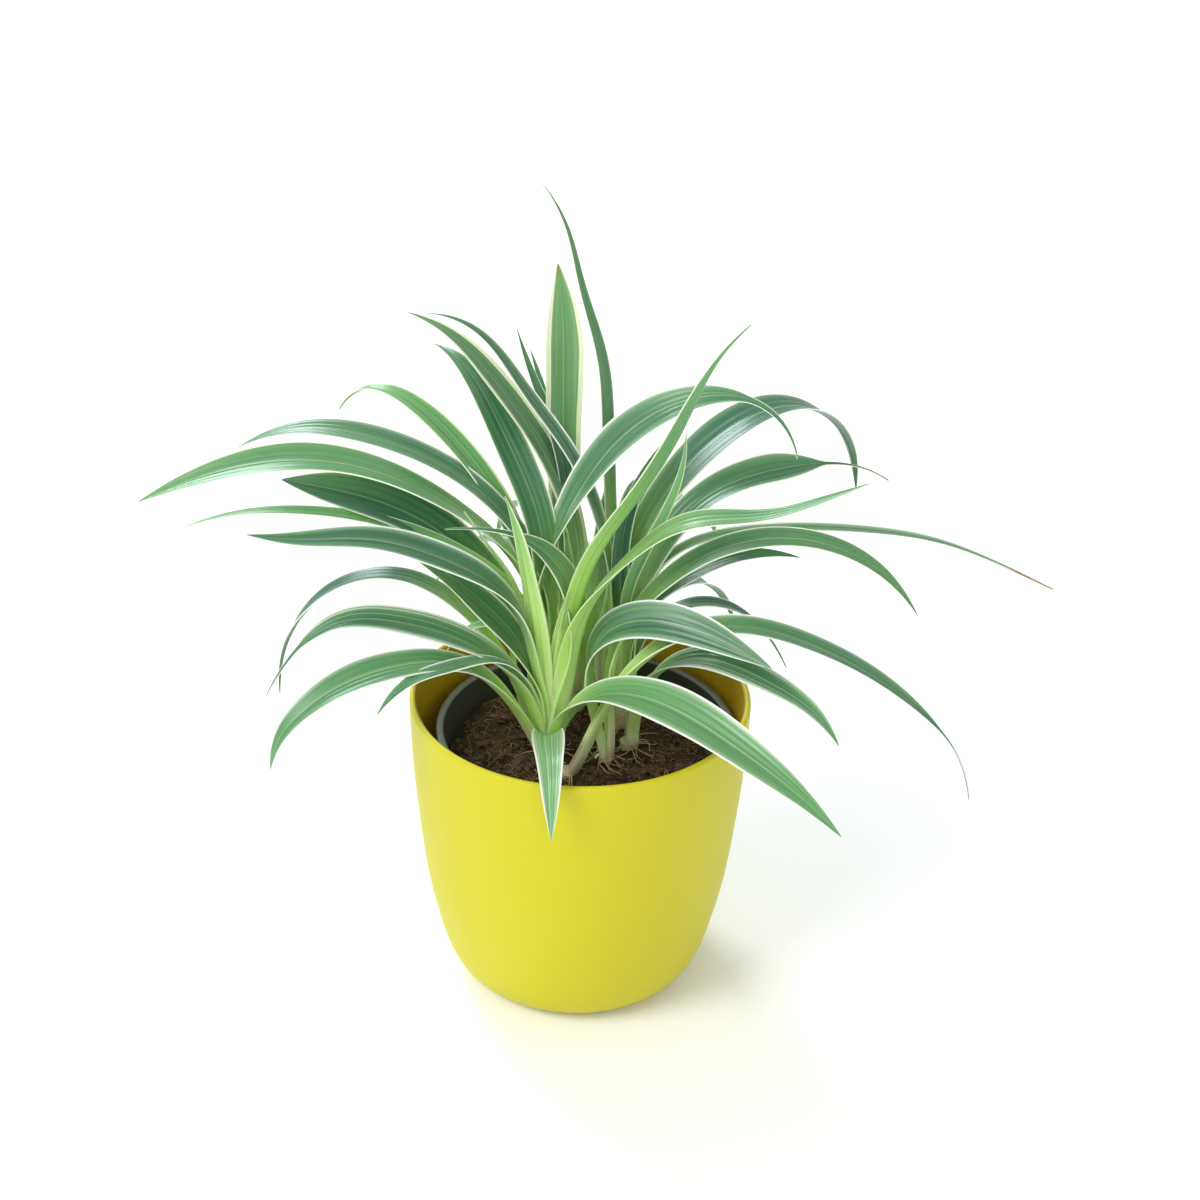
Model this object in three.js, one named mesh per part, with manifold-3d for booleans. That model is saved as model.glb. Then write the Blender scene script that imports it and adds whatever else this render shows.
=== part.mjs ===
// Potted spider plant: a clump of variegated strap-leaved shoots in a nursery pot of coir mix,
// which stands inside a yellow cover pot. Millimetres, +Z up.
// The origin is the middle of the cover pot's flat base, and the viewer stands toward -Y.
import * as THREE from 'three';
import { mergeVertices } from 'three/addons/utils/BufferGeometryUtils.js';
import Module from 'manifold-3d';

const wasm = await Module();
wasm.setup();

// ---- driving dimensions -------------------------------------------------------------------------

const FIT_GAP = 0.3; // between pieces that only rest in or on each other

const COVER = {
  height: 127,
  wall: 2.6,
  floor: 3.4,
  baseRadius: 41,
  floorRadius: 42, // of the flat floor inside
  lipRound: 1.3, // radius of the rounded lip
  // how far the outer wall stands from the axis on its way up: [radius, height]
  outline: [[49, 5.5], [54.3, 16], [58.2, 31], [61.6, 48], [64.3, 70], [66.4, 92], [67.6, 112]],
  lipRadius: 68,
};

const NURSERY = {
  centre: [2.5, -1.5], // it stands a little off the cover pot's axis
  rimRadius: 60,
  rimHeight: 113, // above the table
  rimBand: 9, // height of the thicker band under the rim
  bandStep: 1.6, // how far the band stands out of the wall
  wall: 1.5,
  floor: 2,
  baseRadius: 39,
  drainHoles: 6,
  drainRadius: 4,
  drainCircle: 28,
  drainSides: 8,
};

const SOIL = {
  level: 102, // above the table
  edgeDrop: 1.6, // how far the level falls to the wall
  rings: 5,
  edge: 1, // the lumps end this far inside the pot's wall
  lumps: [ // each a wave along the surface: [turns per metre along X, along Y, height, phase]
    [33, 14, 0.9, 1.3], [-40, 53, 0.6, 0.4], [21, -71, 0.4, 2.2],
  ],
};

const CROWN = {
  radius: 6.4,
  depth: 12, // how deep it stands in the soil
  footRadius: 4,
  height: 10, // above the soil
  sides: 10,
};

const LEAF = {
  rootOut: 3, // a blade leaves its crown this far from the axis
  rootSunk: 3, // and this far below the soil level
  segments: 11, // along the blade
  root: 0.5, // share of the full width at the root
  widest: 0.6, // share of the length at which the blade is widest
  tail: 0, // share of the length that is a thin, drawn-out tip
  taper: 1.9, // how late the blade narrows to its tip
  tipWidth: 0.04,
  tailWidth: 0.13, // share of the full width where a drawn-out tip starts
  flatFold: 12, // degrees that each half rises from flat
  rootFold: 43, // degrees more at the root, where the blade clasps the crown
  foldEnd: 0.45, // share of the length over which that opens
  foldEase: 1.3, // how fast it opens
  thickness: 0.8,
  rootThickness: 1.1, // added at the root
};

// Each leaf leaves its crown at heading[0] and ends at heading[1], in degrees counter-clockwise
// from +X. Its slopes above level are given at even steps from root to tip, and so are its rolls,
// which turn the blade about its midrib. Its root, widest and tail stand in for those of LEAF.
const SHOOTS = [
  {
    name: 'shoot_front', foot: [-12, -6],
    leaves: [
      {
        heading: [348, 343], slopes: [84, 85, 80, 62, 62, 68, 50], roll: [-20, -25],
        length: 215, width: 15, widest: 0.4, root: 0.75,
      },
      {
        heading: [348, 348], slopes: [80, 82, 80, 57, 42, 11, 26, 30], roll: [-35, 0, 20],
        length: 202, width: 16.5, widest: 0.3, root: 0.72,
      },
      {
        heading: [310, 330], slopes: [80, 52, 18, -9, -20, -36], roll: [15, 25],
        length: 172, width: 19, widest: 0.5,
      },
      {
        heading: [269, 276], slopes: [78, 50, 31, 18, 2, -60, -82], roll: [0, 5],
        length: 102, width: 13, widest: 0.45, root: 0.75,
      },
      {
        heading: [220, 214], slopes: [88, 86, 82, 78, 70], roll: [15, 20],
        length: 127, width: 11, widest: 0.4, root: 0.8,
      },
      { heading: [303, 303], slopes: [85, 90, 88, 76, 70], roll: [0, -30], length: 86, width: 5 },
      {
        heading: [184, 184], slopes: [88, 103, 106, 86, 54, 16, -4], roll: [-10, -40],
        length: 140, width: 17, widest: 0.45, tail: 0.2,
      },
      { heading: [196, 194], slopes: [90, 82, 73, 38, 24, 4, 16], roll: [0, -20], length: 187, width: 17 },
      { heading: [177, 177], slopes: [82, 88, 68, 48, 42, 28], roll: [0, -15], length: 110, width: 18 },
      {
        heading: [194, 194], slopes: [84, 70, 45, 25, 8, -42, -64], roll: [0, -25],
        length: 163, width: 17, widest: 0.5, tail: 0.15,
      },
      {
        heading: [205, 203], slopes: [68, 62, 44, 9, -12, -38, -82], roll: [0, -25],
        length: 158, width: 15,
      },
      {
        heading: [213, 213], slopes: [82, 80, 54, 8, -6, -52], roll: [0, 0],
        length: 116, width: 8, widest: 0.75,
      },
    ],
  },
  {
    name: 'shoot_middle', foot: [-5, -19],
    leaves: [
      {
        heading: [357, 357], slopes: [68, 66, 34, -12, -30, -46, -80], roll: [0, 5],
        length: 230, width: 14, widest: 0.55, tail: 0.15,
      },
    ],
  },
  {
    name: 'shoot_right', foot: [10, -11],
    leaves: [
      { heading: [20, -8], slopes: [86, 92, 61, 34, 3, -28, -58], roll: [-5, 20], length: 203, width: 12.5 },
      {
        heading: [350, 326], slopes: [103, 103, 90, 40, 6, -8, -14], roll: [4, 60],
        length: 139, width: 16.5, widest: 0.6, root: 0.3,
      },
    ],
  },
  {
    name: 'shoot_far_right', foot: [20, 2],
    leaves: [
      {
        heading: [23, 22], slopes: [88, 95, 80, 52, 12, -6, -36], roll: [0, 25],
        length: 203, width: 15.5, widest: 0.72, tail: 0.16,
      },
      {
        heading: [9, 6], slopes: [94, 92, 72, 16, -2, -10, -24, -28], roll: [0, -5],
        length: 254, width: 8.5,
      },
      { heading: [6, 6], slopes: [90, 98, 94, 68, 70, 92], roll: [60, 60], length: 147, width: 4.5 },
      {
        heading: [329, 331], slopes: [88, 76, 36, -3, -18, -54], roll: [0, 20],
        length: 132, width: 14, widest: 0.55,
      },
      { heading: [12, 11], slopes: [90, 94, 80, 34, -17, -50, -65], roll: [0, -5], length: 132, width: 9 },
      { heading: [8, 8], slopes: [90, 97, 80, 37, 14, -16], roll: [0, 10], length: 134, width: 12.5 },
    ],
  },
  {
    name: 'shoot_back', foot: [-3, 30],
    leaves: [
      { heading: [159, 159], slopes: [88, 94, 90, 70, 52, 43, 10], roll: [0, 0], length: 198, width: 18 },
      { heading: [128, 128], slopes: [85, 90, 89, 78, 50, 60], roll: [0, 0], length: 168, width: 7 },
      { heading: [118, 112], slopes: [82, 80, 79, 77, 62, 30], roll: [0, 0], length: 155, width: 6.5 },
      {
        heading: [109, 112], slopes: [80, 79, 82, 87, 88, 68], roll: [0, 0],
        length: 190, width: 16, widest: 0.82,
      },
      { heading: [246, 246], slopes: [82, 84, 86, 88, 86], roll: [0, 0], length: 90, width: 5 },
      { heading: [40, 40], slopes: [79, 81, 84, 82], roll: [0, 0], length: 112, width: 12 },
    ],
  },
  {
    name: 'shoot_back_right', foot: [15, 18],
    leaves: [
      {
        heading: [161, 161], slopes: [88, 90, 84, 68, 51, 48, -6], roll: [0, -10],
        length: 207, width: 8.5,
      },
      {
        heading: [115, 155], slopes: [84, 85, 86, 86, 85, 84, 68, 74, 48], roll: [0, 0],
        length: 231, width: 7,
      },
      { heading: [20, 36], slopes: [93, 91, 74, 45, 11, -44, -82], roll: [0, 0], length: 236, width: 21 },
      { heading: [47, 47], slopes: [90, 93, 93, 90, 64, 40], roll: [0, 20], length: 130, width: 8 },
    ],
  },
  {
    name: 'shoot_far_left', foot: [-16, 12],
    leaves: [
      {
        heading: [185, 184], slopes: [95, 85, 46, 22, -9, -27], roll: [20, -22],
        length: 244, width: 18, widest: 0.7,
      },
      {
        heading: [168, 168], slopes: [90, 97, 59, 26, 2, -34], roll: [5, -10],
        length: 222, width: 14.5, widest: 0.72,
      },
      {
        heading: [150, 150], slopes: [90, 93, 66, 45, 20, -58], roll: [0, 0],
        length: 199, width: 13, widest: 0.66,
      },
      {
        heading: [126, 127], slopes: [88, 96, 88, 47, 36, -8], roll: [0, 0],
        length: 191, width: 15, widest: 0.65,
      },
      {
        heading: [173, 173], slopes: [90, 84, 54, 36, 13, 5], roll: [0, -32],
        length: 169, width: 21, widest: 0.75,
      },
      { heading: [182, 182], slopes: [92, 85, 39, 17, 1, -21], roll: [0, -5], length: 207, width: 8.5 },
      { heading: [170, 172], slopes: [74, 60, 34, -21, -60, -88], roll: [0, 0], length: 180, width: 12 },
      { heading: [200, 200], slopes: [84, 87, 80, 60, 60], roll: [0, 0], length: 114, width: 8 },
      {
        heading: [356, 356], slopes: [90, 94, 72, 53, 8, -76], roll: [-10, 45],
        length: 229, width: 21, widest: 0.55, tail: 0.14,
      },
      { heading: [200, 200], slopes: [70, 74, 82, 70, -6, -62], roll: [0, 0], length: 82, width: 6 },
    ],
  },
  {
    name: 'shoot_rear', foot: [10, 40],
    leaves: [
      { heading: [64, 60], slopes: [78, 66, 25, -30, -62], roll: [0, 0], length: 150, width: 16 },
      { heading: [84, 70], slopes: [76, 66, 24, -32, -64], roll: [0, 40], length: 155, width: 11 },
      { heading: [117, 122], slopes: [78, 64, 24, -32, -62], roll: [0, 0], length: 150, width: 15 },
      { heading: [44, 38], slopes: [78, 60, 8, -45, -70], roll: [0, 0], length: 112, width: 12 },
      { heading: [140, 146], slopes: [76, 62, 18, -36, -64], roll: [0, 0], length: 138, width: 14 },
    ],
  },
];

const COLOUR = {
  cover: '#e6e632', nursery: '#2f3130', soil: '#3a2a1c', leaf: '#4f8f4a',
};

const POT_SIDES = 40;

// ---- solids -------------------------------------------------------------------------------------

function toManifold(geometry) {
  const bare = geometry.clone();
  bare.deleteAttribute('normal');
  bare.deleteAttribute('uv');
  const merged = mergeVertices(bare);
  const vertProperties = new Float32Array(merged.attributes.position.array);
  const triVerts = new Uint32Array(merged.index.array);
  return new wasm.Manifold(new wasm.Mesh({ numProp: 3, vertProperties, triVerts }));
}

function toGeometry(solid) {
  const mesh = solid.getMesh();
  const geometry = new THREE.BufferGeometry();
  geometry.setAttribute('position', new THREE.BufferAttribute(mesh.vertProperties, 3));
  geometry.setIndex(new THREE.BufferAttribute(mesh.triVerts, 1));
  geometry.computeVertexNormals();
  return geometry;
}

// The outer skin of a fused body: small hollows that the leaf bases close between them are filled.
function outerSkin(geometry) {
  const index = geometry.index.array;
  const places = geometry.attributes.position;
  const parent = Array.from({ length: places.count }, (_, i) => i);
  const rootOf = (i) => {
    let at = i;
    while (parent[at] !== at) {
      parent[at] = parent[parent[at]];
      at = parent[at];
    }
    return at;
  };
  for (let i = 0; i < index.length; i += 3) {
    parent[rootOf(index[i])] = rootOf(index[i + 1]);
    parent[rootOf(index[i + 1])] = rootOf(index[i + 2]);
  }
  const skins = new Map();
  for (let i = 0; i < index.length; i += 3) {
    const key = rootOf(index[i]);
    skins.set(key, [...(skins.get(key) ?? []), index[i], index[i + 1], index[i + 2]]);
  }
  const largest = [...skins.values()].sort((a, b) => b.length - a.length)[0];
  geometry.setIndex(largest);
  return geometry;
}

// A turned solid about +Z from [radius, height] points that run up the outside.
function turned(points, sides) {
  const profile = points.map(([radius, height]) => new THREE.Vector2(radius, height));
  return new THREE.LatheGeometry(profile, sides).rotateX(Math.PI / 2);
}

function plainMaterial(color, roughness) {
  return new THREE.MeshStandardMaterial({ color, roughness, metalness: 0, side: THREE.FrontSide });
}

// ---- pots ---------------------------------------------------------------------------------------

function coverPot() {
  const { height, wall, floor, baseRadius, floorRadius, lipRound, outline, lipRadius } = COVER;
  const lipCentre = lipRadius - lipRound;
  const outside = [[0, 0], [baseRadius, 0], ...outline, [lipRadius, height - lipRound]];
  const lipStep = lipRound * Math.SQRT1_2;
  const lip = [
    [lipCentre + lipStep, height - lipRound + lipStep],
    [lipCentre, height],
    [lipCentre - lipStep, height - lipRound + lipStep],
    [lipRadius - wall, height - lipRound],
  ];
  const inside = outline.slice(1).reverse().map(([radius, z]) => [radius - wall, z]);
  const floorPoints = [[outline[0][0] - wall, floor + wall], [floorRadius, floor], [0, floor]];
  return turned([...outside, ...lip, ...inside, ...floorPoints], POT_SIDES);
}

const nurseryBase = COVER.floor + FIT_GAP;
const nurseryFloor = nurseryBase + NURSERY.floor;

// Radius of the nursery pot's outer wall at a height above the table.
function nurseryOuter(z) {
  const top = NURSERY.rimRadius - NURSERY.bandStep;
  const share = (z - nurseryBase) / (NURSERY.rimHeight - nurseryBase);
  return NURSERY.baseRadius + (top - NURSERY.baseRadius) * share;
}

function nurseryPot() {
  const { rimRadius, rimHeight, rimBand, wall, baseRadius } = NURSERY;
  const bandBottom = rimHeight - rimBand;
  const rimInner = nurseryOuter(rimHeight) - wall;
  const shell = toManifold(turned([
    [0, nurseryBase], [baseRadius, nurseryBase], [nurseryOuter(bandBottom), bandBottom],
    [rimRadius - NURSERY.bandStep / 2, bandBottom], [rimRadius, rimHeight - wall / 2],
    [rimRadius - wall / 2, rimHeight], [rimInner + wall / 2, rimHeight],
    [rimInner, rimHeight - wall / 2],
    [nurseryOuter(nurseryFloor) - wall, nurseryFloor], [0, nurseryFloor],
  ], POT_SIDES));
  const { floor, drainHoles, drainRadius, drainCircle, drainSides } = NURSERY;
  const drillLength = 4 * floor; // well through the floor
  let solid = shell;
  for (let i = 0; i < drainHoles; i += 1) {
    const turn = (i / drainHoles) * 2 * Math.PI;
    const drill = new THREE.CylinderGeometry(drainRadius, drainRadius, drillLength, drainSides);
    drill.rotateX(Math.PI / 2);
    drill.translate(drainCircle * Math.cos(turn), drainCircle * Math.sin(turn), nurseryFloor);
    solid = solid.subtract(toManifold(drill));
  }
  return toGeometry(solid);
}

// ---- soil ---------------------------------------------------------------------------------------

// Height of the lumpy surface at a place on it.
function soilTop(x, y) {
  const turn = (2 * Math.PI) / 1000;
  return SOIL.lumps.reduce((height, [alongX, alongY, rise, phase]) => (
    height + rise * Math.sin(turn * (alongX * x + alongY * y) + phase)), SOIL.level);
}

// The soil's body about its own axis, with plain holes where the crowns stand.
function soilPlug() {
  const bottom = nurseryFloor + FIT_GAP;
  const rim = SOIL.level - SOIL.edgeDrop;
  const innerAt = (z) => nurseryOuter(z) - NURSERY.wall - FIT_GAP;
  const profile = [[0, bottom], [innerAt(bottom), bottom], [innerAt(rim), rim]];
  for (let i = SOIL.rings; i >= 0; i -= 1) {
    profile.push([((innerAt(rim) - SOIL.edge) * i) / SOIL.rings, SOIL.level]);
  }
  const body = turned(profile, POT_SIDES / 2);
  const places = body.attributes.position;
  for (let i = 0; i < places.count; i += 1) {
    if (places.getZ(i) > rim + FIT_GAP) {
      places.setZ(i, soilTop(places.getX(i), places.getY(i)));
    }
  }
  let solid = toManifold(body);
  const holeRadius = CROWN.radius + 2 * FIT_GAP;
  for (const { foot } of SHOOTS) {
    const drill = new THREE.CylinderGeometry(holeRadius, holeRadius, 2 * CROWN.depth, 2 * CROWN.sides);
    drill.rotateX(Math.PI / 2);
    const [x, y] = [foot[0] - NURSERY.centre[0], foot[1] - NURSERY.centre[1]];
    drill.translate(x, y, SOIL.level - FIT_GAP);
    solid = solid.subtract(toManifold(drill));
  }
  return toGeometry(solid);
}

// ---- leaves -------------------------------------------------------------------------------------

const radians = THREE.MathUtils.degToRad;
const { lerp, clamp, smoothstep } = THREE.MathUtils;

// A smooth value through several that are given at even shares of a length.
function smoothThrough(values, share) {
  const last = values.length - 1;
  const i = Math.min(Math.floor(share * last), last - 1);
  const t = share * last - i;
  const [a, b, c, d] = [i - 1, i, i + 1, i + 2].map((k) => values[clamp(k, 0, last)]);
  return b + (t / 2) * (c - a + t * (2 * a - 5 * b + 4 * c - d + t * (3 * (b - c) + d - a)));
}

// The way a leaf's midrib points at a share of its length.
function ribDirection(leaf, share) {
  const heading = radians(lerp(leaf.heading[0], leaf.heading[1], share));
  const slope = radians(smoothThrough(leaf.slopes, share));
  return {
    along: new THREE.Vector3(
      Math.cos(slope) * Math.cos(heading), Math.cos(slope) * Math.sin(heading), Math.sin(slope)),
    level: new THREE.Vector3(-Math.sin(heading), Math.cos(heading), 0),
  };
}

function halfWidth(leaf, share) {
  const { width, root, widest, tail } = { ...LEAF, ...leaf };
  const grown = lerp(root, 1, smoothstep(share, 0, widest));
  const past = clamp((share - widest) / (1 - tail - widest), 0, 1);
  const left = tail > 0 ? LEAF.tailWidth : LEAF.tipWidth;
  const thinned = share > 1 - tail ? lerp(LEAF.tipWidth / left, 1, (1 - share) / tail) : 1;
  return (width / 2) * grown * (1 - (1 - left) * past ** LEAF.taper) * thinned;
}

// Six corners of the folded blade's section: the upper face's three, then the lower face's.
function bladeSection(leaf, middle, share) {
  const { along, level } = ribDirection(leaf, share);
  const roll = radians(smoothThrough(leaf.roll, share));
  const across = level.clone().applyAxisAngle(along, roll);
  const up = along.clone().cross(across);
  const opening = clamp(1 - share / LEAF.foldEnd, 0, 1);
  const fold = radians(LEAF.flatFold + LEAF.rootFold * opening ** LEAF.foldEase);
  const half = halfWidth(leaf, share);
  const thick = (LEAF.thickness + LEAF.rootThickness * opening) / 2;
  const corner = (side, face) => middle.clone()
    .addScaledVector(across, side * half * Math.cos(fold))
    .addScaledVector(up, Math.abs(side) * half * Math.sin(fold) + face * thick);
  return [corner(1, 1), corner(0, 1), corner(-1, 1), corner(-1, -1), corner(0, -1), corner(1, -1)];
}

function blade(leaf, foot) {
  const { rootOut, rootSunk, segments } = LEAF;
  const start = radians(leaf.heading[0]);
  const middle = new THREE.Vector3(
    foot[0] + rootOut * Math.cos(start), foot[1] + rootOut * Math.sin(start), SOIL.level - rootSunk);
  const corners = [];
  const smallSteps = 4; // walked between two sections, so that the midrib bends smoothly
  for (let i = 0; i <= segments; i += 1) {
    corners.push(...bladeSection(leaf, middle, i / segments));
    for (let k = 0; k < smallSteps; k += 1) {
      const share = (i + (k + 0.5) / smallSteps) / segments;
      if (share < 1) {
        const step = leaf.length / (segments * smallSteps);
        middle.addScaledVector(ribDirection(leaf, share).along, step);
      }
    }
  }
  // Both faces are split along the same diagonals.
  const faces = [];
  for (let i = 0; i < segments; i += 1) {
    const [near, far] = [6 * i, 6 * (i + 1)];
    for (let side = 0; side < 6; side += 1) {
      const next = (side + 1) % 6;
      const [a, b, c, d] = [near + side, near + next, far + next, far + side];
      faces.push(...(side < 3 ? [a, b, c, a, c, d] : [a, b, d, b, c, d]));
    }
  }
  const last = 6 * segments;
  faces.push(0, 5, 1, 1, 5, 4, 1, 4, 2, 2, 4, 3);
  faces.push(last, last + 1, last + 5, last + 1, last + 4, last + 5);
  faces.push(last + 1, last + 2, last + 4, last + 2, last + 3, last + 4);
  const geometry = new THREE.BufferGeometry();
  const flat = corners.flatMap((point) => point.toArray());
  geometry.setAttribute('position', new THREE.Float32BufferAttribute(flat, 3));
  geometry.setIndex(faces);
  return geometry;
}

function crown(foot) {
  const { radius, depth, footRadius, height, sides } = CROWN;
  const base = SOIL.level - depth;
  const top = SOIL.level + height;
  const solid = turned([
    [0, base], [footRadius, base], [radius, base + depth / 2], [radius, SOIL.level + height / 2],
    [radius / 2, top], [0, top],
  ], sides);
  return solid.translate(foot[0], foot[1], 0);
}

function shoot({ foot, leaves }) {
  let solid = toManifold(crown(foot));
  for (const leaf of leaves) {
    solid = solid.add(toManifold(blade(leaf, foot)));
  }
  return outerSkin(toGeometry(solid));
}

// ---- the plant in its pots ----------------------------------------------------------------------

const plant = new THREE.Group();

function place(name, geometry, material, [x, y] = [0, 0]) {
  const mesh = new THREE.Mesh(geometry, material);
  mesh.name = name;
  mesh.position.set(x, y, 0);
  plant.add(mesh);
}

place('cover_pot', coverPot(), plainMaterial(COLOUR.cover, 0.45));
place('nursery_pot', nurseryPot(), plainMaterial(COLOUR.nursery, 0.6), NURSERY.centre);
place('soil', soilPlug(), plainMaterial(COLOUR.soil, 0.95), NURSERY.centre);
for (const entry of SHOOTS) {
  place(entry.name, shoot(entry), plainMaterial(COLOUR.leaf, 0.4));
}

export default plant;
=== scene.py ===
"""Looks of a potted spider plant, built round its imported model, in metres with +Z up.

Each shoot is rebuilt blade by blade from the same headings, slopes and widths as its solid, and the
pots and the soil are turned again with smooth walls. Bark, coir fibres and surface roots are added.
"""

import logging
import math
import random
from collections.abc import Callable
from dataclasses import dataclass, field
from enum import Enum

import bpy
import numpy as np
from bpy.types import Material, Mesh, Node, NodeSocket, NodeTree, Object, bpy_prop_collection
from mathutils import Matrix, Vector, noise


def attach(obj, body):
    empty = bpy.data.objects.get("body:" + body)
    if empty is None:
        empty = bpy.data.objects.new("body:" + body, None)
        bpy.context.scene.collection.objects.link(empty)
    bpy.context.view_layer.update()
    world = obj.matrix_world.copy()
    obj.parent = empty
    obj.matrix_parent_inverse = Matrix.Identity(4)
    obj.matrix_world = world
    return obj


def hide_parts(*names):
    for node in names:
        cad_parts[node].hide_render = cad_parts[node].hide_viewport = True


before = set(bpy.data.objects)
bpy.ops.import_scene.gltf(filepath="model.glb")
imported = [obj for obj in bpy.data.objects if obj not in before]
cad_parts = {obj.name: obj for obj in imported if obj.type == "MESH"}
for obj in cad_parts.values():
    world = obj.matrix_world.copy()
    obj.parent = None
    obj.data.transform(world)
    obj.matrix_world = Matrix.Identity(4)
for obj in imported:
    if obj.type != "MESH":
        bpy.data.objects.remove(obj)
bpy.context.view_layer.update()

log = logging.getLogger("spider_plant")

BODY = "root"
MM = 0.001
Colour = tuple[float, float, float]
Place = tuple[float, float, float]
Spot = tuple[float, float]  # a place along X and Y, or an outline's radius and height
Span = tuple[float, float]  # the least and the most, or where something starts and ends


def shade(hexadecimal: str) -> tuple[float, float, float, float]:
    """Turns a screen colour into the linear colour that a shader socket takes.

    Args:
        hexadecimal: The colour as six hexadecimal digits.

    Returns:
        Red, green, blue and an alpha of 1.
    """
    parts = [int(hexadecimal[i:i + 2], 16) / 255 for i in (0, 2, 4)]
    linear = [p / 12.92 if p <= 0.04045 else ((p + 0.055) / 1.055) ** 2.4 for p in parts]
    return (*linear, 1.0)


def around(centre: Spot, radius: float, turn: float) -> Spot:
    """Gives the point at a distance and an angle, in radians, from a centre."""
    return centre[0] + radius * math.cos(turn), centre[1] + radius * math.sin(turn)


def ease(low: float, high: float, value: np.ndarray) -> np.ndarray:
    """Rises smoothly from 0 at one value to 1 at another.

    Args:
        low: Where the rise starts.
        high: Where it ends.
        value: The values to look up.

    Returns:
        The eased shares.
    """
    share = np.clip((value - low) / (high - low), 0, 1)
    return share * share * (3 - 2 * share)


def smooth_through(values: tuple[float, ...], share: np.ndarray) -> np.ndarray:
    """Follows a smooth curve through values that stand at even shares of a length.

    Args:
        values: The values, first to last.
        share: Where to read the curve, 0 to 1.

    Returns:
        The curve's values.
    """
    known = np.asarray(values, float)
    last = len(known) - 1
    at = np.minimum((share * last).astype(int), last - 1)
    t = share * last - at
    a, b, c, d = (known[np.clip(at + k, 0, last)] for k in (-1, 0, 1, 2))
    return b + t / 2 * (c - a + t * (2 * a - 5 * b + 4 * c - d + t * (3 * (b - c) + d - a)))


# ---- modelling ----


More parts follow.
